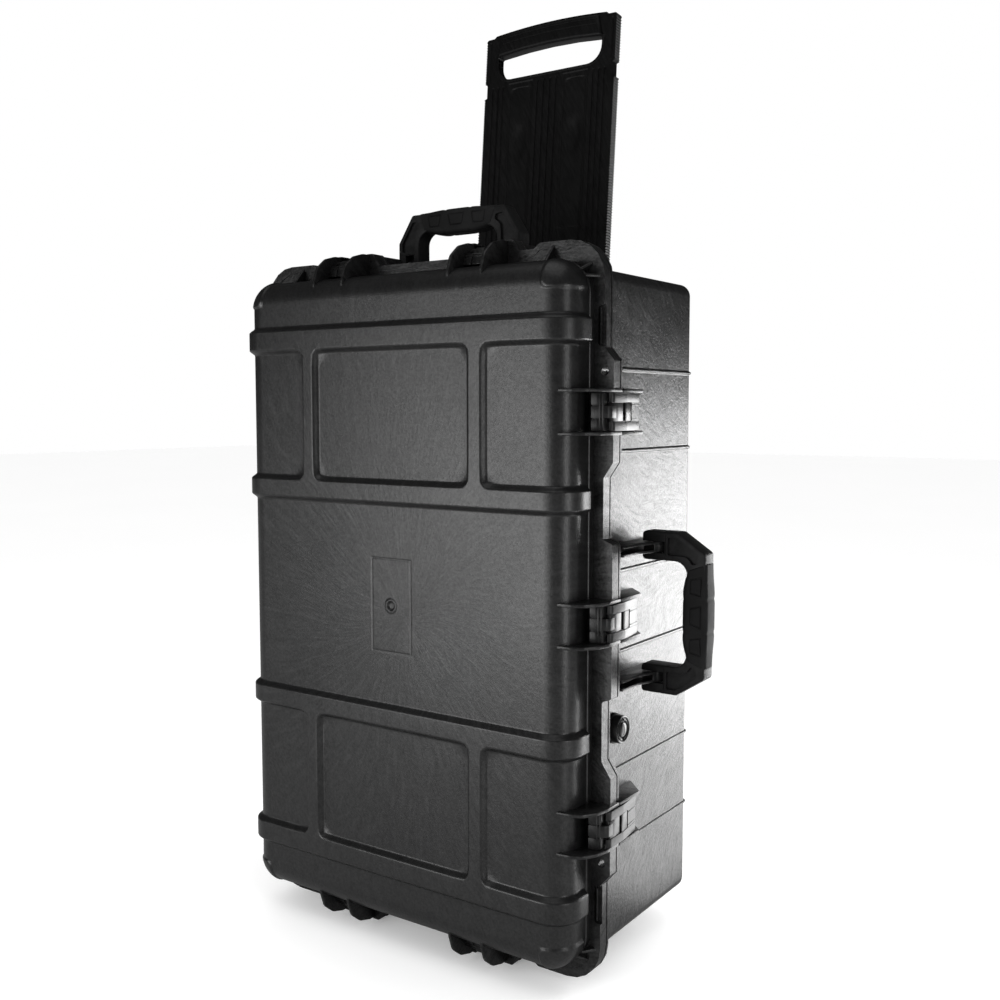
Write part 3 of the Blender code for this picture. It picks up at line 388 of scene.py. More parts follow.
def prism(outline, axis, low, high, name="tool"):
    """Extrude an outline along X, Y or Z. The outline's pairs are the other two axes in order."""
    place = PLACE[axis]
    bm = bmesh.new()
    bottom = [bm.verts.new(place(a, b, low)) for a, b in outline]
    top = [bm.verts.new(place(a, b, high)) for a, b in outline]
    bm.faces.new(bottom)
    bm.faces.new(top)
    band(bm, bottom, top)
    return mesh_object(name, bm)


def square(low, high):
    return (low[0], low[1]), (high[0], low[1]), (high[0], high[1]), (low[0], high[1])


def box(low, high):
    return prism(square(low, high), "Z", low[2], high[2])


def rod(axis, centre, radius, low, high, sides=32):
    steps = [2 * math.pi * (k + 0.5) / sides for k in range(sides)]
    circle = [(centre[0] + radius * math.cos(t), centre[1] + radius * math.sin(t)) for t in steps]
    return prism(circle, axis, low, high)


def combine(target, tools, operation):
    for tool in tools:
        step = target.modifiers.new(operation, "BOOLEAN")
        step.operation = operation
        step.object = tool
        step.solver = "EXACT"
        bpy.context.view_layer.update()
        graph = bpy.context.evaluated_depsgraph_get()
        result = bpy.data.meshes.new_from_object(target.evaluated_get(graph))
        target.modifiers.clear()
        target.data = result
        bpy.data.objects.remove(tool, do_unlink=True)
    return target


def join(target, *tools):
    return combine(target, tools, "UNION")


def cut(target, *tools):
    return combine(target, tools, "DIFFERENCE")


def merged(name, pieces):
    """Several separate closed bodies as one object."""
    bm = bmesh.new()
    for piece in pieces:
        piece.data.transform(piece.matrix_world)
        bm.from_mesh(piece.data)
        bpy.data.objects.remove(piece, do_unlink=True)
    return mesh_object(name, bm)


# --- The two shells, as fine skins over a rounded box ---
def ramp(value, low, high):
    """0 below low, 1 above high, smooth between."""
    t = np.clip((value - low) / (high - low), 0.0, 1.0)
    return t * t * (3.0 - 2.0 * t)


def stops(low, high, step, marks=(), fine=0.0007, reach=0.0028):
    """Values from low to high about step apart, with fine ones round each mark."""
    found = set(np.round(np.linspace(low, high, max(2, int((high - low) / step) + 1)), 6))
    for mark in marks:
        for offset in np.arange(-reach, reach + fine / 2, fine):
            if low < mark + offset < high:
                found.add(round(float(mark + offset), 6))
    ordered = sorted(found)
    kept = [ordered[0]]
    for value in ordered[1:]:
        if value - kept[-1] > fine * 0.6:
            kept.append(value)
    kept[-1] = ordered[-1]
    return np.array(kept)


def skin(name, half_x, half_z, edge, round_y, mouth_y, face_y, xs, zs, side_ys, lift, fan=26):
    """A tray's outer surface over a rounded box, raised by lift(x, y, z), and its plain inside.
    The mouth is at mouth_y, and the closed face at face_y."""
    toward = 1.0 if face_y > mouth_y else -1.0

    def bend(t):
        """A ring's (inset, y, share outwards, share to the front) at angle t of the edge's rounding."""
        out, front = math.cos(t), math.sin(t)
        return round_y * (1 - out), face_y - toward * round_y * (1 - front), out, front

    rings = [(0.0, y, 1.0, 0.0) for y in side_ys]
    rings += [bend(t) for t in np.linspace(0.0, math.pi / 2, 24)[1:]]
    rings += [(d, face_y, 0.0, 1.0) for d in np.linspace(round_y, edge, 4)[1:]]
    a, b = half_x - edge, half_z - edge
    sides = (
        [(a, z) for z in zs], [(x, b) for x in xs[::-1]], [(-a, z) for z in zs[::-1]], [(x, -b) for x in xs],
    )
    corners = ((a, b), (-a, b), (-a, -b), (a, -b))
    outward = ((1.0, 0.0), (0.0, 1.0), (-1.0, 0.0), (0.0, -1.0))
    columns = []
    for quarter in range(4):
        columns += [(*point, *outward[quarter]) for point in sides[quarter]]
        angles = np.linspace(quarter * math.pi / 2, (quarter + 1) * math.pi / 2, fan)[1:-1]
        columns += [(*corners[quarter], math.cos(t), math.sin(t)) for t in angles]
    columns = np.array(columns)
    core, way = columns[:, :2], columns[:, 2:]

    bm = bmesh.new()

    def ring_of(inset, y, out, front, raised):
        flat = core + way * (edge - inset)
        x, z = flat[:, 0], flat[:, 1]
        rise = lift(x, np.full_like(x, y), z, out) if raised else -WALL
        x = x + way[:, 0] * out * rise
        z = z + way[:, 1] * out * rise
        y = y + toward * front * rise + 0 * x
        return [bm.verts.new(p) for p in zip(x, y, z)]

    outer = [ring_of(*ring, True) for ring in rings]
    for pair in zip(outer, outer[1:]):
        band(bm, *pair)
    inner_rings = [(0.0, mouth_y, 1.0, 0.0)] + [bend(t) for t in np.linspace(0, math.pi / 2, 7)]
    inner = [ring_of(*ring, False) for ring in inner_rings]
    for pair in zip(inner, inner[1:]):
        band(bm, *pair)
    bm.faces.new(inner[-1])
    band(bm, outer[0], inner[0])

    grid_x, grid_z = np.meshgrid(xs, zs, indexing="ij")
    rise = lift(grid_x, np.full_like(grid_x, face_y), grid_z, 0.0)
    sheet(bm, grid_x, face_y + toward * rise, grid_z)
    bmesh.ops.remove_doubles(bm, verts=bm.verts, dist=2e-6)
    bmesh.ops.dissolve_degenerate(bm, edges=bm.edges, dist=1e-7)
    return mesh_object(name, bm)


FILLET = 0.0034
FIELD_X, FIELD_Z = 0.030, 0.0555                 # the emblem field's half width and half height
PAD_END_Y, RIB_PROUD = 0.0440, 0.0023


def rect_distance(x, z, low_x, high_x, low_z, high_z):
    """Signed distance to a rectangle, negative inside."""
    dx = np.maximum(low_x - x, x - high_x)
    dz = np.maximum(low_z - z, z - high_z)
    outside = np.hypot(np.maximum(dx, 0), np.maximum(dz, 0))
    return outside + np.minimum(np.maximum(dx, dz), 0)


def rounded_distance(x, z, low_x, high_x, low_z, high_z, radius):
    """Signed distance to a rectangle with round corners, negative inside."""
    return rect_distance(x, z, low_x + radius, high_x - radius, low_z + radius, high_z - radius) - radius


def lid_lift(x, y, z, out):
    """How far the lid's outer skin stands off its rounded box."""
    height = np.abs(z)
    across = np.abs(x)
    low, high = BANDS[0][1], BANDS[1][0]
    open_face = np.minimum(height - BANDS[0][0], BANDS[1][1] - height)
    open_face = np.minimum(open_face, rounded_distance(across, height, -1.0, POST_X[0], low, high, 0.010))
    open_face = np.minimum(open_face, rounded_distance(across, height, POST_X[1], 1.0, low, high, 0.010))
    fade = 1.0 - ramp(y, BAND_END_Y - 0.0050, BAND_END_Y)
    raised = BAND_PROUD * ramp(open_face, -FILLET, FILLET) * fade
    line = [
        0.0006 * ramp(-rect_distance(x, z, -a, a, -b, b), 0.0, 0.0012)
        for a, b in ((FIELD_X, FIELD_Z), (FIELD_X - 0.0015, FIELD_Z - 0.0015))
    ]
    gate = np.hypot(x, z)
    dimple = 0.0011 * (ramp(gate, 0.0045, 0.0060) - ramp(gate, 0.0075, 0.0095))
    dimple -= 0.0016 * (1.0 - ramp(gate, 0.0030, 0.0060))
    face = np.where(out == 0.0, 1.0, 0.0)
    pad = rect_distance(across, height, PAD_X, 1.0, PAD_Z, 1.0)
    corner = np.hypot(np.maximum(PAD_X + 0.008 - across, 0), np.maximum(PAD_Z + 0.008 - height, 0))
    pad = np.maximum(pad, corner - 0.008)
    pads = PAD_PROUD * (1.0 - ramp(pad, -0.0012, 0.0012)) * (1.0 - ramp(y, PAD_END_Y - 0.0025, PAD_END_Y))
    collar = 0.0011 * ramp(y, 0.0462, 0.0474)
    return np.maximum(np.maximum(raised, pads), collar) + (line[1] - line[0] + dimple) * face


def base_lift(x, y, z, out):
    """How far the base's outer skin stands off its rounded box: slim ribs down the long sides."""
    height = np.abs(z - RIB_SHIFT)
    rib = np.full_like(x, 1.0)
    for level in RIB_Z:
        rib = np.minimum(rib, np.abs(height - level) - 0.0015)
    along = ramp(y, 0.070, 0.071) * (1.0 - ramp(y, BASE_BACK - 0.0050, BASE_BACK - 0.0015))
    sides = np.where(np.abs(x) > BASE_HALF_X - BASE_EDGE, 1.0, 0.0)
    return RIB_PROUD * (1.0 - ramp(rib, -0.0007, 0.0009)) * along * sides


def lid_skin():
    a, b = LID_HALF_X - LID_EDGE, LID_HALF_Z - LID_EDGE
    x_marks = [s * v for s in (1, -1) for v in (*POST_X, FIELD_X, 0.198)] + [0.0]
    z_marks = [s * v for s in (1, -1) for pair in BANDS for v in pair]
    z_marks += [s * v for s in (1, -1) for v in (FIELD_Z, PAD_Z)]
    round_gate = set(np.round(np.arange(-0.011, 0.0111, 0.0009), 6))
    xs = set(stops(-a, a, 0.009, x_marks, 0.0009, 0.0040)) | round_gate
    zs = set(stops(-b, b, 0.009, z_marks, 0.0009, 0.0040)) | round_gate
    under_rim, ends = RIM_FRONT - 0.003, (0.0428, 0.0445, 0.0468)
    side_ys = list(stops(under_rim, PART_Y - GAP, 0.006)[::-1])
    side_ys += list(stops(LID_FACE_ROUND, under_rim, 0.004, ends, 0.0006, 0.0024)[::-1][1:])
    shell = skin(
        "lid_body", LID_HALF_X, LID_HALF_Z, LID_EDGE, LID_FACE_ROUND, PART_Y - GAP, 0.0,
        np.array(sorted(xs)), np.array(sorted(zs)), side_ys, lid_lift,
    )
    finish_piece(shell, "lid", "shell", LID, "lid_shell", sharp=60)


def base_skin():
    a, b = BASE_HALF_X - BASE_EDGE, BASE_HALF_Z - BASE_EDGE
    marks = [s * v + RIB_SHIFT for s in (1, -1) for v in RIB_Z]
    mouth = PART_Y + GAP
    side_ys = list(stops(mouth, BASE_BACK - BASE_BACK_ROUND, 0.010, (0.0705, 0.2800), 0.0006, 0.0015))
    shell = skin(
        "base_body", BASE_HALF_X, BASE_HALF_Z, BASE_EDGE, BASE_BACK_ROUND, mouth, BASE_BACK,
        stops(-a, a, 0.012), stops(-b, b, 0.012, marks, 0.0005, 0.0030), side_ys, base_lift, 14,
    )
    return shell


def plate(outline, axis, low, high, width=0.0006, segments=2, name="tool"):
    """A prism whose sharp edges are all rounded."""
    obj = prism(outline, axis, low, high, name)
    bm = bmesh.new()
    bm.from_mesh(obj.data)
    sharp = [e for e in bm.edges if e.calc_face_angle(0.0) > math.radians(22)]
    bmesh.ops.bevel(
        bm, geom=sharp, offset=width, segments=segments, profile=0.5, affect="EDGES",
        clamp_overlap=True,
    )
    bmesh.ops.recalc_face_normals(bm, faces=bm.faces)
    bm.to_mesh(obj.data)
    bm.free()
    return obj


def frame_rect(half_x, half_z, radius):
    return rounded([(x, z, radius) for x, z in square((-half_x, -half_z), (half_x, half_z))], 8)


# --- Rims ---
def rim_outline(foot, inset=0.0):
    """The flange's outer outline in X and Z, all the way round."""
    half_x, wide = RIM_HALF_X - RIM_TUCK - inset, RIM_WIDE_X - inset
    tall = RIM_HALF_Z - inset

    def short_side(level, reach):
        """Corners from the middle of a short side out to its rounded corner, on the right."""
        edge = level * tall
        return [
            (0.0580, edge - level * 0.0085, 0.0015), (0.0600, edge - level * 0.0080, 0.0),
            (0.0700, level * (reach - inset), 0.0040), (0.1320, level * (reach - inset), 0.0030),
            (0.1405, edge - level * 0.0060, 0.0025), (0.1585, edge - level * 0.0060, 0.0020),
            (0.1670, edge, 0.0030), (half_x, edge, RIM_CORNER),
        ]

    latch_side = []
    for low, high, run_in, run_out in (
        (-0.277, -0.170, 0.013, 0.017), (-0.0833, 0.0833, 0.004, 0.004), (0.170, 0.277, 0.017, 0.013),
    ):
        latch_side += [
            (half_x, low - run_in, 0.003), (wide, low, 0.003), (wide, high, 0.003),
            (half_x, high + run_out, 0.003),
        ]
    bottom, top = short_side(-1, foot), short_side(1, STATION_TOP)
    right = bottom + latch_side + top[::-1]
    left = [(-x, z, r) for x, z, r in top] + [(-x, z, r) for x, z, r in bottom[::-1]]
    return rounded(right + left, 5)


def bay_tools(low_y, high_y):
    tools = []
    for z in SIDE_LATCH_Z:
        tools.append(box((BAY_X, low_y, z - BAY_HALF), (0.30, high_y, z + BAY_HALF)))
    for x in END_LATCH_X:
        for level in (1, -1):
            z = sorted((level * BAY_Z, level * 0.45))
            tools.append(box((x - BAY_HALF, low_y, z[0]), (x + BAY_HALF, high_y, z[1])))
    return tools


def padlock_tools():
    return [
        rod("Y", (PADLOCK_X, level * PADLOCK_Z), PADLOCK_R, 0.02, 0.12, 24) for level in (1, -1)
    ]


def rim_layer(name, low_y, high_y, foot, inner, inset=0.0):
    """One layer of a flange, open in the middle and at the latches."""
    ring = prism(rim_outline(foot, inset), "Y", low_y, high_y, name)
    hole = prism(frame_rect(*inner), "Y", low_y - 0.01, high_y + 0.01)
    cut(ring, hole, *bay_tools(low_y - 0.01, high_y + 0.01), *padlock_tools())
    return ring


SEAL_X, SEAL_Z, SEAL_CORNER, SEAL_WIDE = 0.2375, 0.3787, 0.020, 0.0042


def seal_groove(low_y, high_y):
    groove = prism(
        frame_rect(SEAL_X + SEAL_WIDE, SEAL_Z + SEAL_WIDE, SEAL_CORNER + SEAL_WIDE), "Y", low_y, high_y,
    )
    return cut(groove, prism(frame_rect(SEAL_X, SEAL_Z, SEAL_CORNER), "Y", low_y - 0.01, high_y + 0.01))


def lid_rim():
    """The lid's flange: a stepped front edge, the seal's groove behind and a thumb notch."""
    inner = (LID_HALF_X - 0.001, LID_HALF_Z - 0.001, LID_EDGE)
    high = PART_Y - GAP - 0.00006
    foot = -FLOOR - 0.001
    ring = rim_layer("lid_rim", RIM_FRONT, high - PART_GROOVE, foot, inner)
    neck = rim_layer("lid_rim_neck", high - PART_GROOVE - 0.0020, high, foot, inner, PART_SUNK)
    cut(ring, seal_groove(0.0644, 0.08))
    cut(neck, seal_groove(0.0644, 0.08))
    sunk_face = prism(rim_outline(foot, 0.0075), "Y", RIM_FRONT - 0.01, RIM_FRONT + 0.0009)
    notch = [(0.2392, 0.293, 0.003), (0.2520, 0.290), (0.2520, 0.336), (0.2392, 0.333, 0.003)]
    low_notch = [(x, -z, *r) for x, z, *r in notch]
    cut(ring, sunk_face)
    for corners in (notch, low_notch):
        cut(ring, prism(rounded(corners, 5), "Y", RIM_FRONT - 0.01, RIM_FRONT + 0.0043))
    made = []
    for level in (1, -1):
        low, tall = sorted((level * 0.2945, level * 0.3315))
        made.append(plate(square((0.2419, RIM_FRONT), (0.2434, 0.0590)), "Z", low, tall, 0.0004))
    bars = merged("lid_notch_bars", made)
    for obj in (ring, neck):
        finish_piece(obj, "lid", "shell", SHELL, sharp=35, width=0.0007, angle=30)
    on_case(bars, "lid", "shell", SHELL)


def base_rim():
    inner = (BASE_HALF_X - 0.001, BASE_HALF_Z - 0.001, BASE_EDGE)
    low = PART_Y + GAP + 0.00006
    neck = rim_layer("base_rim_neck", low, low + PART_GROOVE + 0.0020, -FLOOR, inner, PART_SUNK)
    front = rim_layer("base_rim", low + PART_GROOVE, 0.0732, -FLOOR, inner)
    back = rim_layer("base_rim_back", 0.0728, RIM_BACK, -FLOOR, inner, 0.0026)
    for obj in (neck, front, back):
        finish_piece(obj, "base", "shell", SHELL, sharp=35, width=0.0007, angle=30)


# --- Fins and gussets ---
LID_FIN = (
    (-0.0090, PART_Y - GAP), (-0.0090, 0.0280), (-0.0112, 0.0182), (-0.0166, 0.0096), (-0.0212, 0.0060),
    (-0.0195, 0.0044), (-0.0110, 0.0050, 0.004), (-0.0040, 0.0060, 0.008), (0.0090, 0.0120, 0.012),
    (0.0180, 0.0270, 0.012), (0.0215, 0.0440, 0.016), (0.0215, PART_Y - GAP),
)
BASE_FIN = (
    (-0.0040, PART_Y + GAP), (0.0220, PART_Y + GAP), (0.0220, 0.1140, 0.006),
    (-0.0020, 0.1394, 0.003), (-0.0040, 0.1394),
)


def fins(name, profile, body):
    """Pairs of guard plates beside each latch, with rounded edges."""
    outline = rounded(profile, 5)
    made = []
    for z in SIDE_LATCH_Z:
        for side in (-1, 1):
            low = z + side * FIN_OFFSET - FIN_THICK / 2
            shape = [(LATCH_X + h, y) for h, y in outline]
            made.append(plate(shape, "Z", low, low + FIN_THICK, 0.0008, 2))
    for x in END_LATCH_X:
        for level in (1, -1):
            for side in (-1, 1):
                low = x + side * FIN_OFFSET - FIN_THICK / 2
                shape = [(y, level * (LATCH_Z + h * END_FIN_SCALE)) for h, y in outline]
                made.append(plate(shape, "X", low, low + FIN_THICK, 0.0008, 2))
    finish_piece(merged(name, made), body, "shell", SHELL)


WEB_X, WEB_Z = 0.184, 0.3645


def gussets():
    """Thin webs between the lid's wall and its flange, at the corners and along the short sides."""
    made = []
    for level in (1, -1):
        for sign in (1, -1):
            web = ((0.0350, level * (LID_HALF_Z - 0.002)), (0.0560, level * (LID_HALF_Z - 0.002)),
                   (0.0560, level * (LID_HALF_Z + 0.021)))
            made.append(plate(web, "X", sign * WEB_X - 0.0013, sign * WEB_X + 0.0013, 0.0005, 2))
            web = ((sign * (LID_HALF_X - 0.002), 0.0410), (sign * (LID_HALF_X - 0.002), 0.0560),
                   (sign * (LID_HALF_X + 0.0095), 0.0560))
            made.append(plate(web, "Z", level * WEB_Z - 0.0018, level * WEB_Z + 0.0018, 0.0012, 3))
            web = plate(((-0.004, 0.036), (-0.004, 0.056), (0.013, 0.056)), "Z", -0.0018, 0.0018, 0.0012, 3)
            turn = math.atan2(level, sign)
            web.data.transform(Matrix.Rotation(turn, 4, "Y").inverted())
            core = Vector((sign * (LID_HALF_X - 0.010), 0.0, level * (LID_HALF_Z - 0.010)))
            web.data.transform(Matrix.Translation(core))
            made.append(web)
    finish_piece(merged("lid_gussets", made), "lid", "shell", SHELL)


# --- Latches: drawn once beside the lid wall, then turned to each side of the case ---
LATCH_OUT, HEEL_OUT = 0.0230, 0.0212
END_LATCH_SHIFT = 0.0018


def latch_places():
    """(name, half width, matrix) for each latch. The matrix maps (height, y, along) to the case."""
    places = []
    for name, z in zip(("upper", "middle", "lower"), SIDE_LATCH_Z):
        turn = Matrix(((1, 0, 0, LATCH_X), (0, 1, 0, 0), (0, 0, 1, z), (0, 0, 0, 1)))
        places.append((f"side_{name}", 0.0197, turn))
    for side, x in zip(("left", "right"), END_LATCH_X):
        along = x - END_LATCH_SHIFT
        top = Matrix(((0, 0, -1, along), (0, 1, 0, 0), (1, 0, 0, LATCH_Z), (0, 0, 0, 1)))
        places.append((f"top_{side}", 0.0190, top))
        low = Matrix(((0, 0, 1, along), (0, 1, 0, 0), (-1, 0, 0, -LATCH_Z), (0, 0, 0, 1)))
        places.append((f"bottom_{side}", 0.0190, low))
    return places


LATCH_ARM = (
    (0.0195, 0.0440, 0.001), (LATCH_OUT, 0.0450, 0.006), (LATCH_OUT, 0.0755, 0.003), (0.0192, 0.1105, 0.006),
    (0.0120, 0.1188, 0.006), (0.0040, 0.1160, 0.004), (0.0030, 0.1085, 0.003), (0.0090, 0.1010, 0.004),
    (0.0155, 0.0900, 0.010), (0.0155, 0.0540, 0.002), (0.0195, 0.0500, 0.002),
)
LATCH_HEEL = (
    (0.0160, 0.0885), (HEEL_OUT, 0.0885), (0.0189, 0.1105, 0.006),
    (0.0120, 0.1180, 0.006), (0.0048, 0.1152, 0.004), (0.0040, 0.1090, 0.003), (0.0094, 0.1020, 0.004),
    (0.0155, 0.0930, 0.004),
)
LEVER_TAB = (
    (0.0030, 0.0322, 0.001), (0.0100, 0.0338, 0.006), (0.0168, 0.0368, 0.001), (0.0168, 0.0450, 0.001),
    (0.0135, 0.0450, 0.002), (0.0085, 0.0412, 0.006), (0.0032, 0.0392, 0.001),
)
LEVER_MIDDLE = (
    (0.0030, 0.0322, 0.001), (0.0140, 0.0352, 0.010), (0.0205, 0.0385, 0.004), (LATCH_OUT, 0.0430, 0.003),
    (LATCH_OUT, 0.0520, 0.001), (0.0160, 0.0520, 0.001), (0.0135, 0.0450, 0.004), (0.0085, 0.0412, 0.006),
    (0.0032, 0.0392, 0.001),
)
LEVER_CORE = (
    (0.0040, 0.0337), (0.0100, 0.0352), (0.0160, 0.0380), (0.0160, 0.0440), (0.0138, 0.0442),
    (0.0085, 0.0402), (0.0040, 0.0382),
)
LEVER_TONGUE = (
    (0.0150, 0.0460, 0.001), (LATCH_OUT - 0.0006, 0.0460, 0.001), (LATCH_OUT - 0.0002, 0.0560, 0.010),
    (LATCH_OUT - 0.0010, 0.0690, 0.002), (LATCH_OUT - 0.0045, 0.0696), (LATCH_OUT - 0.0045, 0.0716),
    (LATCH_OUT - 0.0002, 0.0716, 0.0006), (LATCH_OUT - 0.0002, 0.0755, 0.003),
    (HEEL_OUT + 0.0002, 0.0866, 0.001), (0.0175, 0.0872, 0.003), (0.0150, 0.0830, 0.003),
)


def latch(name, half, turn):
    """The latch frame: two cheeks, a curved heel in three bands; and the lever: tab and tongue."""
    arm, heel = rounded(LATCH_ARM, 5), rounded(LATCH_HEEL, 5)
    inner = 0.0102
    parts = []
    for side in (-1, 1):
        z = sorted((side * inner, side * half))
        parts.append(plate(arm, "Z", *z, 0.0009, 3))
        ridge = sorted((side * 0.0068, side * 0.0078))
        parts.append(plate([(h + 0.0004, y + 0.0003) for h, y in heel], "Z", *ridge, 0.0003, 2))
    parts.append(plate(heel, "Z", -inner - 0.001, inner + 0.001, 0.0003, 1))
    body = merged(f"{name}_frame_body", parts)
    body.data.transform(turn)
    finish_piece(body, f"{name}_latch", "latch", LATCH, f"{name}_latch_frame")

    tab, middle = rounded(LEVER_TAB, 4), rounded(LEVER_MIDDLE, 4)
    parts = [plate(LEVER_CORE, "Z", -half + 0.0006, half - 0.0006, 0.0004, 1)]
    for low, high in ((-half, -0.0076), (0.0076, half)):
        parts.append(plate(tab, "Z", low, high, 0.0006, 2))
    parts.append(plate(middle, "Z", -0.0063, 0.0063, 0.0006, 2))
    for h, y in ((0.0128, 0.0350), (0.0158, 0.0364)):
        bar = (
            (h - 0.0008, y - 0.0008), (h + 0.0008, y - 0.0004),
            (h + 0.0008, y + 0.0030), (h - 0.0008, y + 0.0030),
        )
        parts.append(plate(bar, "Z", -half + 0.0008, half - 0.0008, 0.0005, 2))
    parts.append(plate(rounded(LEVER_TONGUE, 4), "Z", -0.0095, 0.0095, 0.0005, 2))
    lever = merged(f"{name}_lever_body", parts)
    lever.data.transform(turn)
    finish_piece(lever, f"{name}_lever", "latch", LATCH, f"{name}_latch_lever")


# --- The base: skin, cheeks, ribs, wheel wells and the trolley's trough ---
SIDE_PIVOT_Y, TOP_PIVOT_Y, PIVOT_OUT = 0.147, 0.139, 0.0295
HANDLE_ARM, HANDLE_ARM_HALF = 0.0731, 0.0060
WHEEL_X, WHEEL_Y, WHEEL_R, WHEEL_HALF = 0.160, 0.268, 0.038, 0.015
WHEEL_Z = FLOOR + WHEEL_R
VALVE_Y, VALVE_Z = 0.0955, -0.1265
TROLLEY_SLOPE, TROLLEY_Y, TROLLEY_Z = 0.0838, 0.3172, 0.415
PANEL_HALF_X, PANEL_HALF_Y, PANEL_LOW, PANEL_TOP = 0.103, 0.006, -0.102, 0.3306
LEANED = Matrix.Translation((0.0, TROLLEY_Y, TROLLEY_Z)) @ Matrix.Rotation(-math.atan(TROLLEY_SLOPE), 4, "X")
CHANNEL_LOW, PANEL_CLEAR = -0.440, 0.0015
HINGE_Z, KNUCKLE_R = (0.24, 0.0, -0.24), 0.0065
ARM_FLANGE, CHEEK_THICK = 0.0028, 0.0055         # either side of an arm's channel, beside a wheel


def panel_space():
    x, y = PANEL_HALF_X + PANEL_CLEAR, PANEL_HALF_Y + PANEL_CLEAR
    space = box((-x, -y, CHANNEL_LOW), (x, y, 0.0))
    space.data.transform(LEANED)
    return space


def wheel_space(sign):
    inner, outer = WHEEL_X - WHEEL_HALF - 0.0035, WHEEL_X + WHEEL_HALF + 0.0035
    x = sorted((sign * inner, sign * outer))
    return box((x[0], WHEEL_Y - WHEEL_R - 0.005, -0.50), (x[1], 0.35, WHEEL_Z + WHEEL_R + 0.005))


def arm_profile(pivot_y):
    """Outline (height above the wall, y) of a cheek that carries a handle."""
    root, out = -0.002, PIVOT_OUT
    return rounded((
        (root, RIM_BACK - 0.001), (0.0221, RIM_BACK - 0.001, 0.002), (0.0221, pivot_y - 0.035, 0.010),
        (out + 0.003, pivot_y - 0.0085, 0.006), (out + 0.0085, pivot_y - 0.0035, 0.005),
        (out + 0.0085, pivot_y + 0.0050, 0.005), (out + 0.0020, pivot_y + 0.0100, 0.006),
        (0.0165, pivot_y + 0.0106, 0.003), (0.010, pivot_y + 0.021, 0.008), (root, pivot_y + 0.025),
    ), 5)


def arm_channel(pivot_y):
    return (
        (0.0100, RIM_BACK - 0.0030), (0.0400, RIM_BACK - 0.0030), (0.0400, pivot_y - 0.0200),
        (0.0270, pivot_y - 0.0125), (0.0160, pivot_y - 0.0125), (0.0100, pivot_y - 0.0200),
    )


def base_shell():
    shell = base_skin()
    valve_hole = rod("X", (VALVE_Y, VALVE_Z), 0.0103, 0.20, 0.25)
    cut(shell, wheel_space(1), wheel_space(-1), panel_space(), valve_hole)
    finish_piece(shell, "base", "shell", SHELL, "base_shell")


def base_arms():
    """The cheeks that carry both handles, and the base's halves of the hinges."""
    made = []
    for sign in (1, -1):
        low, high = sign * HANDLE_ARM - HANDLE_ARM_HALF, sign * HANDLE_ARM + HANDLE_ARM_HALF
        for axis, pivot_y, wall in (("Z", SIDE_PIVOT_Y, BASE_HALF_X), ("X", TOP_PIVOT_Y, BASE_HALF_Z)):
            shape = [(wall + h, y) for h, y in arm_profile(pivot_y)]
            groove = [(wall + h, y) for h, y in arm_channel(pivot_y)]
            if axis == "X":
                shape, groove = [(y, h) for h, y in shape], [(y, h) for h, y in groove]
            arm = plate(shape, axis, low, high, 0.0007, 2)
            made.append(cut(arm, prism(groove, axis, low + ARM_FLANGE, high - ARM_FLANGE)))
    for z in HINGE_Z:
        low, high = z - 0.0115, z + 0.0115
        arm = box((HINGE_X, PART_Y + GAP, low), (-RIM_HALF_X + 0.004, PART_Y + 0.0103, high))
        made.append(join(rod("Z", (HINGE_X, HINGE_Y), KNUCKLE_R, low, high), arm))
    finish_piece(merged("base_arms", made), "base", "shell", SHELL, width=0.0004)


def base_wells():
    """The wheel wells with their cheeks, and the trough behind the trolley's panel."""
    made = []
    front, back, roof = WHEEL_Y - WHEEL_R - 0.010, BASE_BACK - 0.0006, WHEEL_Z + WHEEL_R + 0.010
    for sign in (1, -1):
        inner, outer = WHEEL_X - WHEEL_HALF - 0.009, WHEEL_X + WHEEL_HALF + 0.009
        x = sorted((sign * inner, sign * outer))
        well = box((x[0], front, -BASE_HALF_Z + 0.0012), (x[1], back, roof))
        for face in (inner, outer - CHEEK_THICK):
            near = sorted((sign * face, sign * (face + CHEEK_THICK)))
            cheek = rounded((
                (WHEEL_Y - 0.020, roof - 0.010), (WHEEL_Y - 0.020, WHEEL_Z - 0.004, 0.004),
                (WHEEL_Y - 0.010, WHEEL_Z - 0.014, 0.008), (WHEEL_Y + 0.010, WHEEL_Z - 0.014, 0.010),
                (back, WHEEL_Z - 0.004, 0.001), (back, roof - 0.010),
            ), 5)
            join(well, prism(cheek, "X", *near))
        made.append(cut(well, wheel_space(sign)))
    trough = ((back, -0.045), (0.2690, -0.030), (0.2700, 0.020), (0.2835, 0.180), (back, 0.185))
    made.append(cut(prism(trough, "X", -PANEL_HALF_X - 0.006, PANEL_HALF_X + 0.006), panel_space()))
    finish_piece(merged("base_wells", made), "base", "shell", SHELL, width=0.0006)


def lid_knuckles():
    made = []
    for z in HINGE_Z:
        for low, high in ((z - 0.0245, z - 0.0120), (z + 0.0120, z + 0.0245)):
            arm = box((HINGE_X, PART_Y - GAP - 0.010, low), (-RIM_HALF_X + 0.004, PART_Y - GAP, high))
            made.append(join(rod("Z", (HINGE_X, HINGE_Y), KNUCKLE_R, low, high), arm))
    finish_piece(merged("lid_knuckles", made), "lid", "shell", SHELL, width=0.0006)


# --- Handles: drawn sticking out along +X from the pivot, then turned to their side of the case ---
def handle_turns():
    side = Matrix.Translation((BASE_HALF_X + PIVOT_OUT, SIDE_PIVOT_Y, 0.0))
    turn = Matrix(((0, 0, -1, 0), (0, 1, 0, 0), (1, 0, 0, 0), (0, 0, 0, 1)))
    top = Matrix.Translation((0.0, TOP_PIVOT_Y, BASE_HALF_Z + PIVOT_OUT)) @ turn
    return (("side_handle", side), ("top_handle", top))


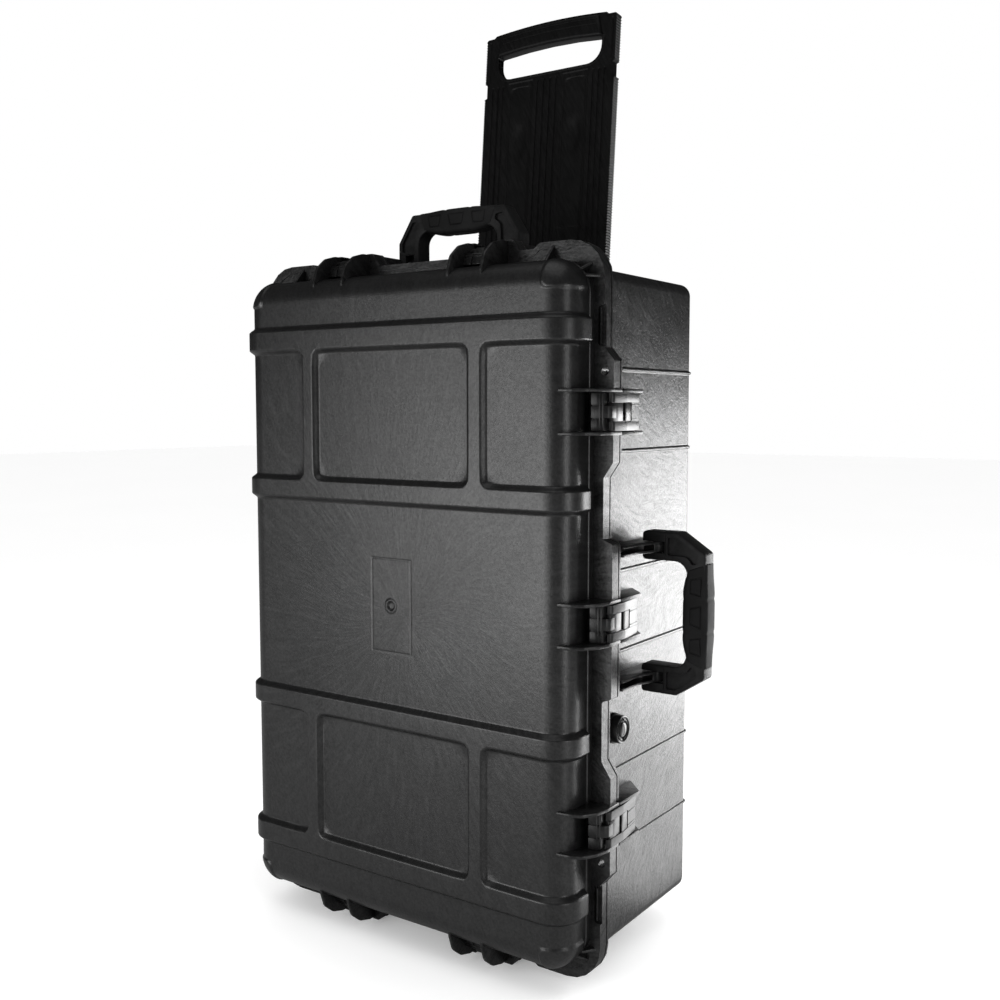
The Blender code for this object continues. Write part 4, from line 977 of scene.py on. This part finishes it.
HANDLE_HEEL, CHEEK_IN, CHEEK_OUT, HANDLE_THICK = -0.0158, 0.0589, 0.0908, 0.0115


def handle_frame(name, turn):
    """The hard plastic bracket: two chamfered legs with recessed faces."""
    outline = rounded((
        (HANDLE_HEEL, -CHEEK_OUT, 0.004), (0.0270, -CHEEK_OUT, 0.005), (0.0603, -0.0690, 0.005),
        (0.0603, 0.0690, 0.005), (0.0270, CHEEK_OUT, 0.005), (HANDLE_HEEL, CHEEK_OUT, 0.004),
        (HANDLE_HEEL, CHEEK_IN, 0.004), (0.0388, CHEEK_IN, 0.0155), (0.0388, -CHEEK_IN, 0.0155),
        (HANDLE_HEEL, -CHEEK_IN, 0.004),
    ), 7)
    frame_part = plate(outline, "Y", -HANDLE_THICK, HANDLE_THICK, 0.0018, 3, f"{name}_bracket")
    for sign in (1, -1):
        low, high = sign * HANDLE_ARM - HANDLE_ARM_HALF - 0.0006, sign * HANDLE_ARM + HANDLE_ARM_HALF + 0.0006
        cut(frame_part, box((-0.03, -0.02, low), (0.0116, 0.02, high)))
        pocket = [
            (0.0152, 0.0850, 0.002), (0.0262, 0.0850, 0.004), (0.0520, 0.0682, 0.004),
            (0.0505, 0.0572, 0.003), (0.0445, 0.0560, 0.004), (0.0395, 0.0640, 0.008),
            (0.0290, 0.0650, 0.004), (0.0152, 0.0650, 0.002),
        ]
        line = [(0.0122, 0.0625), (0.0129, 0.0625), (0.0129, 0.0872), (0.0122, 0.0872)]
        for side in (-1, 1):
            for shape, floor in ((pocket, 0.0078), (line, 0.0106)):
                corners = rounded([(x, sign * z, *r) for x, z, *r in shape], 5)
                cut(frame_part, prism(corners, "Y", *sorted((side * floor, side * 0.02))))
    frame_part.data.transform(turn)
    finish_piece(
        frame_part, name, "handle", HANDLE, f"{name}_frame", sharp=35, width=0.0005, angle=35,
    )


def convex_distance(x, z, corners):
    """Signed distance to a convex outline given anticlockwise, roughly exact near its edges."""
    far = np.full_like(x, -1.0)
    for (ax, az), (bx, bz) in zip(corners, corners[1:] + corners[:1]):
        nx, nz = bz - az, ax - bx
        size = math.hypot(nx, nz)
        far = np.maximum(far, ((x - ax) * nx + (z - az) * nz) / size)
    return far


def grip_sink(x, z):
    """How deep the grip's faces are cut: a line round each of three trapezoids."""
    sink = np.zeros_like(x)
    near, far = 0.0434, 0.0562
    for centre, outer, inner in ((-0.0330, 0.0098, 0.0072), (0.0, 0.0120, 0.0084), (0.0330, 0.0098, 0.0072)):
        corners = [
            (near, centre - inner), (far, centre - outer), (far, centre + outer), (near, centre + inner),
        ]
        away = convex_distance(x, z, corners)
        groove = 1.0 - ramp(np.abs(away), 0.0002, 0.0009)
        inside = 1.0 - ramp(away, -0.0004, 0.0004)
        wedge = inside * np.clip((z - centre + inner) / (2 * inner), 0, 1) * 0.0004
        sink = np.maximum(sink, 0.0010 * groove + 0.00025 * inside + wedge)
    return sink


GRIP_SLANT = 0.38


def bulge(z, centre, width):
    """A smooth bump at a distance from the grip's middle."""
    return math.exp(-((abs(z) - centre) / width) ** 2)


def handle_grip(name, turn):
    """The soft sleeve: swelling in the middle, scalloped for the fingers, with trapezoid insets."""
    half = 0.0530
    rows = np.linspace(-half, half, 168)
    bm = bmesh.new()
    rings = []
    for z in rows:
        share = abs(z) / half
        near = 0.0334 + 0.0040 * ramp(share, 0.45, 1.0) + 0.0006 * bulge(z, 0.0185, 0.0022)
        near += 0.0004 * bulge(z, 0.0440, 0.0020)
        far = 0.0632 - 0.0016 * ramp(share, 0.30, 1.0) - 0.0007 * bulge(z, 0.0185, 0.0025)
        thick = 0.0135 - 0.0012 * ramp(share, 0.55, 1.0)
        end = 0.0008 * ramp(share, 0.985, 1.0)
        near, far, thick = near + end, far - end, thick - end
        round_near, round_far = 0.0060, 0.0058
        ring = []
        span = np.linspace(near + round_near, far - round_far, 34)
        quarter = np.linspace(0, math.pi / 2, 8)
        for side, line, centre, radius in (
            (1, span, far - round_far, round_far), (-1, span[::-1], near + round_near, round_near),
        ):
            sink = grip_sink(line, np.full_like(line, z))
            ring += [(x, side * (thick - d)) for x, d in zip(line, sink)]
            for sign, angles in ((1, quarter[1:]), (-1, (quarter + math.pi / 2)[:-1])):
                for t in angles:
                    across, along = radius * math.sin(t), radius * math.cos(t)
                    ring.append((centre + side * across, sign * side * (thick - radius + sign * along)))
        slant = math.copysign(GRIP_SLANT * ramp(share, 0.75, 1.0), z)
        rings.append([bm.verts.new((x, y, z + slant * (x - 0.0483))) for x, y in ring])
    for pair in zip(rings, rings[1:]):
        band(bm, *pair)
    bm.faces.new(rings[0])
    bm.faces.new(rings[-1])
    bmesh.ops.remove_doubles(bm, verts=bm.verts, dist=1e-6)
    grip = mesh_object(f"{name}_sleeve", bm)
    grip.data.transform(turn)
    finish_piece(grip, name, "rubber", RUBBER, f"{name}_grip", sharp=50)


# --- Trolley: a leaning panel with columns, ridges, dimples, toothed edges and an arched grip ---
PANEL_GROOVES = (                                 # (middle, half width)
    (0.0050, 0.0017), (0.0148, 0.0017), (0.0715, 0.0016), (0.0800, 0.0016), (0.0885, 0.0016),
)


def panel_sink(x, z):
    """Depth of the panel's moulded detail below its face."""
    across = np.abs(x)
    sink = np.zeros_like(x)
    for centre, half in PANEL_GROOVES:
        groove = rect_distance(across, z, centre - half, centre + half, PANEL_LOW - 0.01, 0.2545)
        sink = np.maximum(sink, 0.0019 * (1.0 - ramp(groove, -0.0008, 0.0004)))
    column = rect_distance(across, z, 0.0235, 0.0625, PANEL_LOW + 0.010, 0.2565)
    sink = np.maximum(sink, 0.0007 * (1.0 - ramp(column, -0.0006, 0.0006)))
    column = rect_distance(across, z, 0.0262, 0.0598, PANEL_LOW + 0.014, 0.2495)
    beside = np.maximum(0.0334 - across, np.maximum(across - 0.0526, 0.0))
    corner = np.hypot(beside, np.maximum(z - 0.2423, 0.0))
    column = np.maximum(column, np.where(z > 0.2423, corner - 0.0072, column))
    sink = np.maximum(sink, 0.0016 * (1.0 - ramp(column, -0.0008, 0.0008)))
    oval = np.hypot((across - 0.0430) / 0.0150, (z - 0.1750) / 0.0300)
    sink = sink + 0.0026 * (1.0 - ramp(oval, 0.25, 1.0))
    sill = rect_distance(across, z, 0.0275, 0.0585, PANEL_LOW + 0.016, 0.0515)
    sink = sink + 0.0006 * (1.0 - ramp(sill, -0.0008, 0.0008))
    cheek = rect_distance(across, z, 0.0955, 0.0972, 0.2640, 0.3180)
    return np.maximum(sink, 0.0010 * (1.0 - ramp(cheek, -0.0006, 0.0006)))


def toothed(x, low, high, pitch=0.0036, depth=0.0014):
    """Points up a toothed edge."""
    count = int((high - low) / pitch)
    step = (high - low) / count
    points = [(x, low)]
    for k in range(count):
        points += [(x - depth, low + (k + 0.25) * step), (x, low + (k + 0.75) * step)]
    return points + [(x, high)]


GRIP_SLOT_HALF, GRIP_CORNER = 0.082, 0.3262


def arch():
    """The panel's top edge from right to left: a low arch."""
    points = []
    for k in range(1, 16):
        share = 1 - k / 8
        points.append((share * (PANEL_HALF_X - 0.016), PANEL_TOP - share * share * (PANEL_TOP - GRIP_CORNER)))
    return points


def panel_outline():
    x = PANEL_HALF_X
    right = toothed(x, PANEL_LOW, 0.2405)
    right += [(x - 0.004, 0.2420), (x - 0.004, 0.2605)] + toothed(x, 0.2620, 0.3205)
    right += [(x - 0.0015, 0.3225), (x - 0.003, 0.3232), (x - 0.0125, 0.3234), (x - 0.0160, GRIP_CORNER)]
    return right + arch() + [(-a, b) for a, b in reversed(right)]


def panel_block():
    """A closed block with the moulded detail on its front and its back, wider than the panel."""
    marks_x = [s * c for s in (1, -1) for m, _ in PANEL_GROOVES for c in (m - 0.0019, m + 0.0019)]
    marks_x += [s * c for s in (1, -1) for c in (0.0235, 0.0262, 0.0598, 0.0625, 0.0963)]
    marks_z = [PANEL_LOW + 0.012, 0.2545, 0.2565, 0.2495, 0.2460, 0.0515, 0.2640, 0.3180]
    xs = stops(-PANEL_HALF_X - 0.002, PANEL_HALF_X + 0.002, 0.0022, marks_x, 0.0004, 0.0009)
    zs = stops(PANEL_LOW - 0.002, PANEL_TOP + 0.002, 0.0045, marks_z, 0.0007, 0.0021)
    grid_x, grid_z = np.meshgrid(xs, zs, indexing="ij")
    depth = PANEL_HALF_Y - panel_sink(grid_x, grid_z)
    bm = bmesh.new()
    front, rear = sheet(bm, grid_x, -depth, grid_z), sheet(bm, grid_x, depth, grid_z)
    for i in range(len(xs) - 1):
        for j in (0, -1):
            bm.faces.new((front[i][j], front[i + 1][j], rear[i + 1][j], rear[i][j]))
    for j in range(len(zs) - 1):
        for i in (0, -1):
            bm.faces.new((front[i][j], front[i][j + 1], rear[i][j + 1], rear[i][j]))
    return mesh_object("trolley_board", bm)


def grip_slot():
    slot = rounded((
        (-GRIP_SLOT_HALF, 0.2630, 0.022), (GRIP_SLOT_HALF, 0.2630, 0.022), (GRIP_SLOT_HALF, 0.2960, 0.003),
        (0.0400, 0.2995), (0.0, 0.3006), (-0.0400, 0.2995), (-GRIP_SLOT_HALF, 0.2960, 0.003),
    ), 8)
    return prism(slot, "Y", -0.03, 0.03)


def trolley_panel():
    panel = panel_block()
    combine(panel, (prism(panel_outline(), "Y", -0.03, 0.03),), "INTERSECT")
    cut(panel, grip_slot())
    panel.data.transform(LEANED)
    finish_piece(panel, "trolley", "trolley", TROLLEY, "trolley_panel", sharp=45)


def trolley_grip():
    """The thick rounded bar over the slot, two ridges on it, and the slot's raised border."""
    half = GRIP_SLOT_HALF + 0.001
    low = [(-half, 0.2957), (-0.0400, 0.2992), (0.0, 0.3003), (0.0400, 0.2992), (half, 0.2957)]
    upper = [(a, b - 0.0022) for a, b in arch() if abs(a) < GRIP_SLOT_HALF + 0.002]
    made = [plate(low + upper, "Y", -0.0098, 0.0098, 0.0042, 5)]
    for drop in (0.0050, 0.0120):
        ridge = [(a * 0.97, b - drop) for a, b in upper]
        ridge += [(a, b - 0.0018) for a, b in ridge[::-1]]
        made.append(plate(ridge, "Y", -0.0104, 0.0104, 0.0006, 2))
    half = GRIP_SLOT_HALF + 0.004
    border = rounded(((-half, 0.2592, 0.025), (half, 0.2592, 0.025), (half, 0.2975), (-half, 0.2975)), 8)
    ring = plate(border, "Y", -PANEL_HALF_Y - 0.0008, PANEL_HALF_Y + 0.0008, 0.0005, 2)
    made.append(cut(ring, grip_slot()))
    bar = merged("trolley_grip_bar", made)
    bar.data.transform(LEANED)
    finish_piece(bar, "trolley", "trolley", TROLLEY, width=0.0003)


# --- Turned parts: wheels and the pressure valve ---
def lathe(profile, axis, sides, name):
    """Turn a closed (radius, height) outline round the X axis through (y, z)."""
    bm = bmesh.new()
    rings = []
    for k in range(sides):
        y, z = math.cos(2 * math.pi * k / sides), math.sin(2 * math.pi * k / sides)
        rings.append([bm.verts.new((h, axis[0] + r * y, axis[1] + r * z)) for r, h in profile])
    for pair in zip(rings, rings[1:] + rings[:1]):
        band(bm, *pair)
    return mesh_object(name, bm)


def wheel(side):
    sign = 1 if side == "right" else -1
    where = (WHEEL_Y, WHEEL_Z)
    x = sign * WHEEL_X
    shoulder = ((0.0264, WHEEL_HALF - 0.0020), (0.0340, WHEEL_HALF - 0.0004), (0.0362, WHEEL_HALF - 0.0018))
    profile = [(r, x - h) for r, h in shoulder]
    for groove in (-0.0062, 0.0, 0.0062):
        profile += [(WHEEL_R - 0.0003, x + groove - 0.0022), (WHEEL_R, x + groove - 0.0010)]
        profile += [(WHEEL_R, x + groove + 0.0010), (WHEEL_R - 0.0003, x + groove + 0.0022)]
        if groove < 0.006:
            profile += [(WHEEL_R - 0.0016, x + groove + 0.0026), (WHEEL_R - 0.0016, x + groove + 0.0034)]
    profile += [(r, x + h) for r, h in shoulder[::-1]]
    tyre = lathe(profile, where, 96, f"wheel_{side}_tread")
    finish_piece(tyre, f"wheel_{side}", "tyre", TYRE, f"wheel_{side}_tyre", sharp=35)

    half = WHEEL_HALF
    outer = (
        (0.0043, half - 0.0005), (0.0085, half - 0.0005), (0.0092, half - 0.0012), (0.0095, 0.0035),
        (0.0215, 0.0035), (0.0222, half - 0.0016), (0.0228, half - 0.0008), (0.0262, half - 0.0008),
    )
    profile = [(r, x - h) for r, h in outer] + [(r, x + h) for r, h in outer[::-1]]
    hub = lathe(profile, where, 72, f"wheel_{side}_spokes")
    for k in range(5):
        t = 2 * math.pi * k / 5
        hole = (where[0] + 0.0155 * math.cos(t), where[1] + 0.0155 * math.sin(t))
        cut(hub, rod("X", hole, 0.0038, x - 0.03, x + 0.03, 24))
    finish_piece(
        hub, f"wheel_{side}", "handle", HANDLE, f"wheel_{side}_hub", sharp=35, width=0.0004,
    )


def valve():
    """Flange with a raised lip, and a knob of concentric rings with a low dome and a coin slot."""
    where, wall = (VALVE_Y, VALVE_Z), BASE_HALF_X
    body = lathe([(r, wall + h) for r, h in (
        (0.0100, -0.0155), (0.0100, 0.0003), (0.0164, 0.0003), (0.0170, 0.0008), (0.0170, 0.0034),
        (0.0164, 0.0042), (0.0005, 0.0042), (0.0005, -0.0155),
    )], where, 72, "valve_flange")
    finish_piece(body, "base", "handle", HANDLE, "valve_body", sharp=35)
    knob = lathe([(r, wall + h) for r, h in (
        (0.0005, 0.0045), (0.0150, 0.0045), (0.0157, 0.0053), (0.0157, 0.0118), (0.0152, 0.0131),
        (0.0143, 0.0135), (0.0135, 0.0131), (0.0131, 0.0118), (0.0123, 0.0118), (0.0119, 0.0131),
        (0.0110, 0.0136), (0.0101, 0.0131), (0.0096, 0.0114), (0.0086, 0.0114), (0.0081, 0.0130),
        (0.0072, 0.0138), (0.0048, 0.0143), (0.0024, 0.0146), (0.0005, 0.0146),
    )], where, 96, "valve_dial")
    for sign in (1, -1):
        near = sorted((VALVE_Z + sign * 0.0080, VALVE_Z + sign * 0.0128))
        cut(knob, box((wall + 0.0112, VALVE_Y - 0.0022, near[0]), (wall + 0.03, VALVE_Y + 0.0022, near[1])))
    y, z = 0.0007, 0.0062                            # the coin slot's half width and half length
    cut(knob, box((wall + 0.0132, VALVE_Y - y, VALVE_Z - z), (wall + 0.03, VALVE_Y + y, VALVE_Z + z)))
    finish_piece(
        knob, "valve_knob", "handle", LATCH, "valve_knob", sharp=35, width=0.0003, angle=35,
    )


# --- Camera, lights and floor ---
def camera():
    """The photograph's viewing angle."""
    forward = Vector((-0.5669, 0.8198, -0.0807)).normalized()
    right = Vector((0.8226, 0.5687, 0.0)).normalized()
    up = right.cross(forward).normalized()
    data = bpy.data.cameras.new("camera")
    data.lens = 40.58
    data.sensor_width = 36.0
    obj = bpy.data.objects.new("camera", data)
    bpy.context.scene.collection.objects.link(obj)
    place = Matrix((right, up, -forward)).transposed().to_4x4()
    place.translation = Vector((0.8324, -0.9838, 0.2262)) + CASE
    obj.matrix_world = place
    bpy.context.scene.camera = obj


def softbox(name, where, at, size, power):
    data = bpy.data.lights.new(name, "AREA")
    data.shape = "RECTANGLE"
    data.size, data.size_y = size
    data.energy = power
    obj = bpy.data.objects.new(name, data)
    bpy.context.scene.collection.objects.link(obj)
    obj.location = Vector(where) + CASE
    obj.visible_camera = False
    obj.rotation_euler = (Vector(at) - Vector(where)).to_track_quat("-Z", "Y").to_euler()


def studio():
    bpy.context.scene.view_settings.view_transform = "Standard"
    world = bpy.data.worlds.new("studio")
    bpy.context.scene.world = world
    world.use_nodes = True
    tree = world.node_tree
    sky = tree.nodes["Background"]
    sky.inputs["Color"].default_value = (1.0, 1.0, 1.0, 1.0)
    sky.inputs["Strength"].default_value = 1.0
    dim = tree.nodes.new("ShaderNodeBackground")
    dim.inputs["Strength"].default_value = 0.045
    seen = tree.nodes.new("ShaderNodeLightPath")
    choose = tree.nodes.new("ShaderNodeMixShader")
    tree.links.new(seen.outputs["Is Glossy Ray"], choose.inputs[0])
    tree.links.new(sky.outputs[0], choose.inputs[1])
    tree.links.new(dim.outputs[0], choose.inputs[2])
    tree.links.new(choose.outputs[0], tree.nodes["World Output"].inputs["Surface"])
    softbox("side_light", (0.62, 1.05, -0.08), (0.238, 0.18, 0.0), (0.42, 0.58), 11.0)
    softbox("low_light", (0.52, 0.76, -0.411), (0.52, 0.76, 1.0), (0.46, 0.95), 5.0)
    softbox("front_light", (-0.66, -1.24, 0.17), (0.10, 0.0, 0.15), (0.54, 0.76), 6.1)
    softbox("edge_light", (-0.06, -1.24, 0.0), (0.21, 0.0, 0.0), (0.56, 0.80), 4.0)
    softbox("fill_light", (-0.55, -1.24, -0.22), (0.18, 0.0, 0.0), (0.36, 0.40), 2.2)
    softbox("strip_light", (1.387, -0.30, 0.05), (0.23, 0.01, 0.05), (0.17, 0.92), 4.0)
    softbox("top_light", (0.2, -0.4, 2.4), (0.0, 0.1, 0.0), (2.2, 2.2), 12.0)
    bm = bmesh.new()
    bm.faces.new([bm.verts.new((x, y, 0.0)) for x, y in square((-14.0, -14.0), (14.0, 14.0))])
    floor = mesh_object("studio_floor", bm)
    floor.data.materials.append(floor_finish())
    floor.location = (0.0, 0.0, -0.0002)


# --- CAD nodes that stay, with a finish and softened edges ---
KEPT = {
    "shell": SHELL, "latch": LATCH, "handle": HANDLE, "rubber": RUBBER, "tyre": TYRE,
    "trolley": TROLLEY, "steel": STEEL, "seal": SEAL,
}


def keep_nodes():
    slots = {row["node"]: row["material_slot"] for row in frame["record"]["subparts"]}
    for name, node in frame["nodes"].items():
        if node.hide_render:
            continue
        node.data.materials.clear()
        node.data.materials.append(KEPT[slots[name]])
        weld = node.modifiers.new("weld", "WELD")
        weld.merge_threshold = 0.00002
        flat = node.modifiers.new("flat", "DECIMATE")
        flat.decimate_type = "DISSOLVE"
        flat.angle_limit = math.radians(1.0)
        soften(node, 0.0005, 28.0)
        node.modifiers.new("shade", "WEIGHTED_NORMAL")


camera()
studio()
lid_skin()
lid_rim()
fins("lid_fins", LID_FIN, "lid")
gussets()
lid_knuckles()
base_rim()
base_shell()
base_arms()
base_wells()
fins("base_fins", BASE_FIN, "base")
for place in latch_places():
    latch(*place)
for place in handle_turns():
    handle_frame(*place)
    handle_grip(*place)
trolley_panel()
trolley_grip()
wheel("left")
wheel("right")
valve()
keep_nodes()
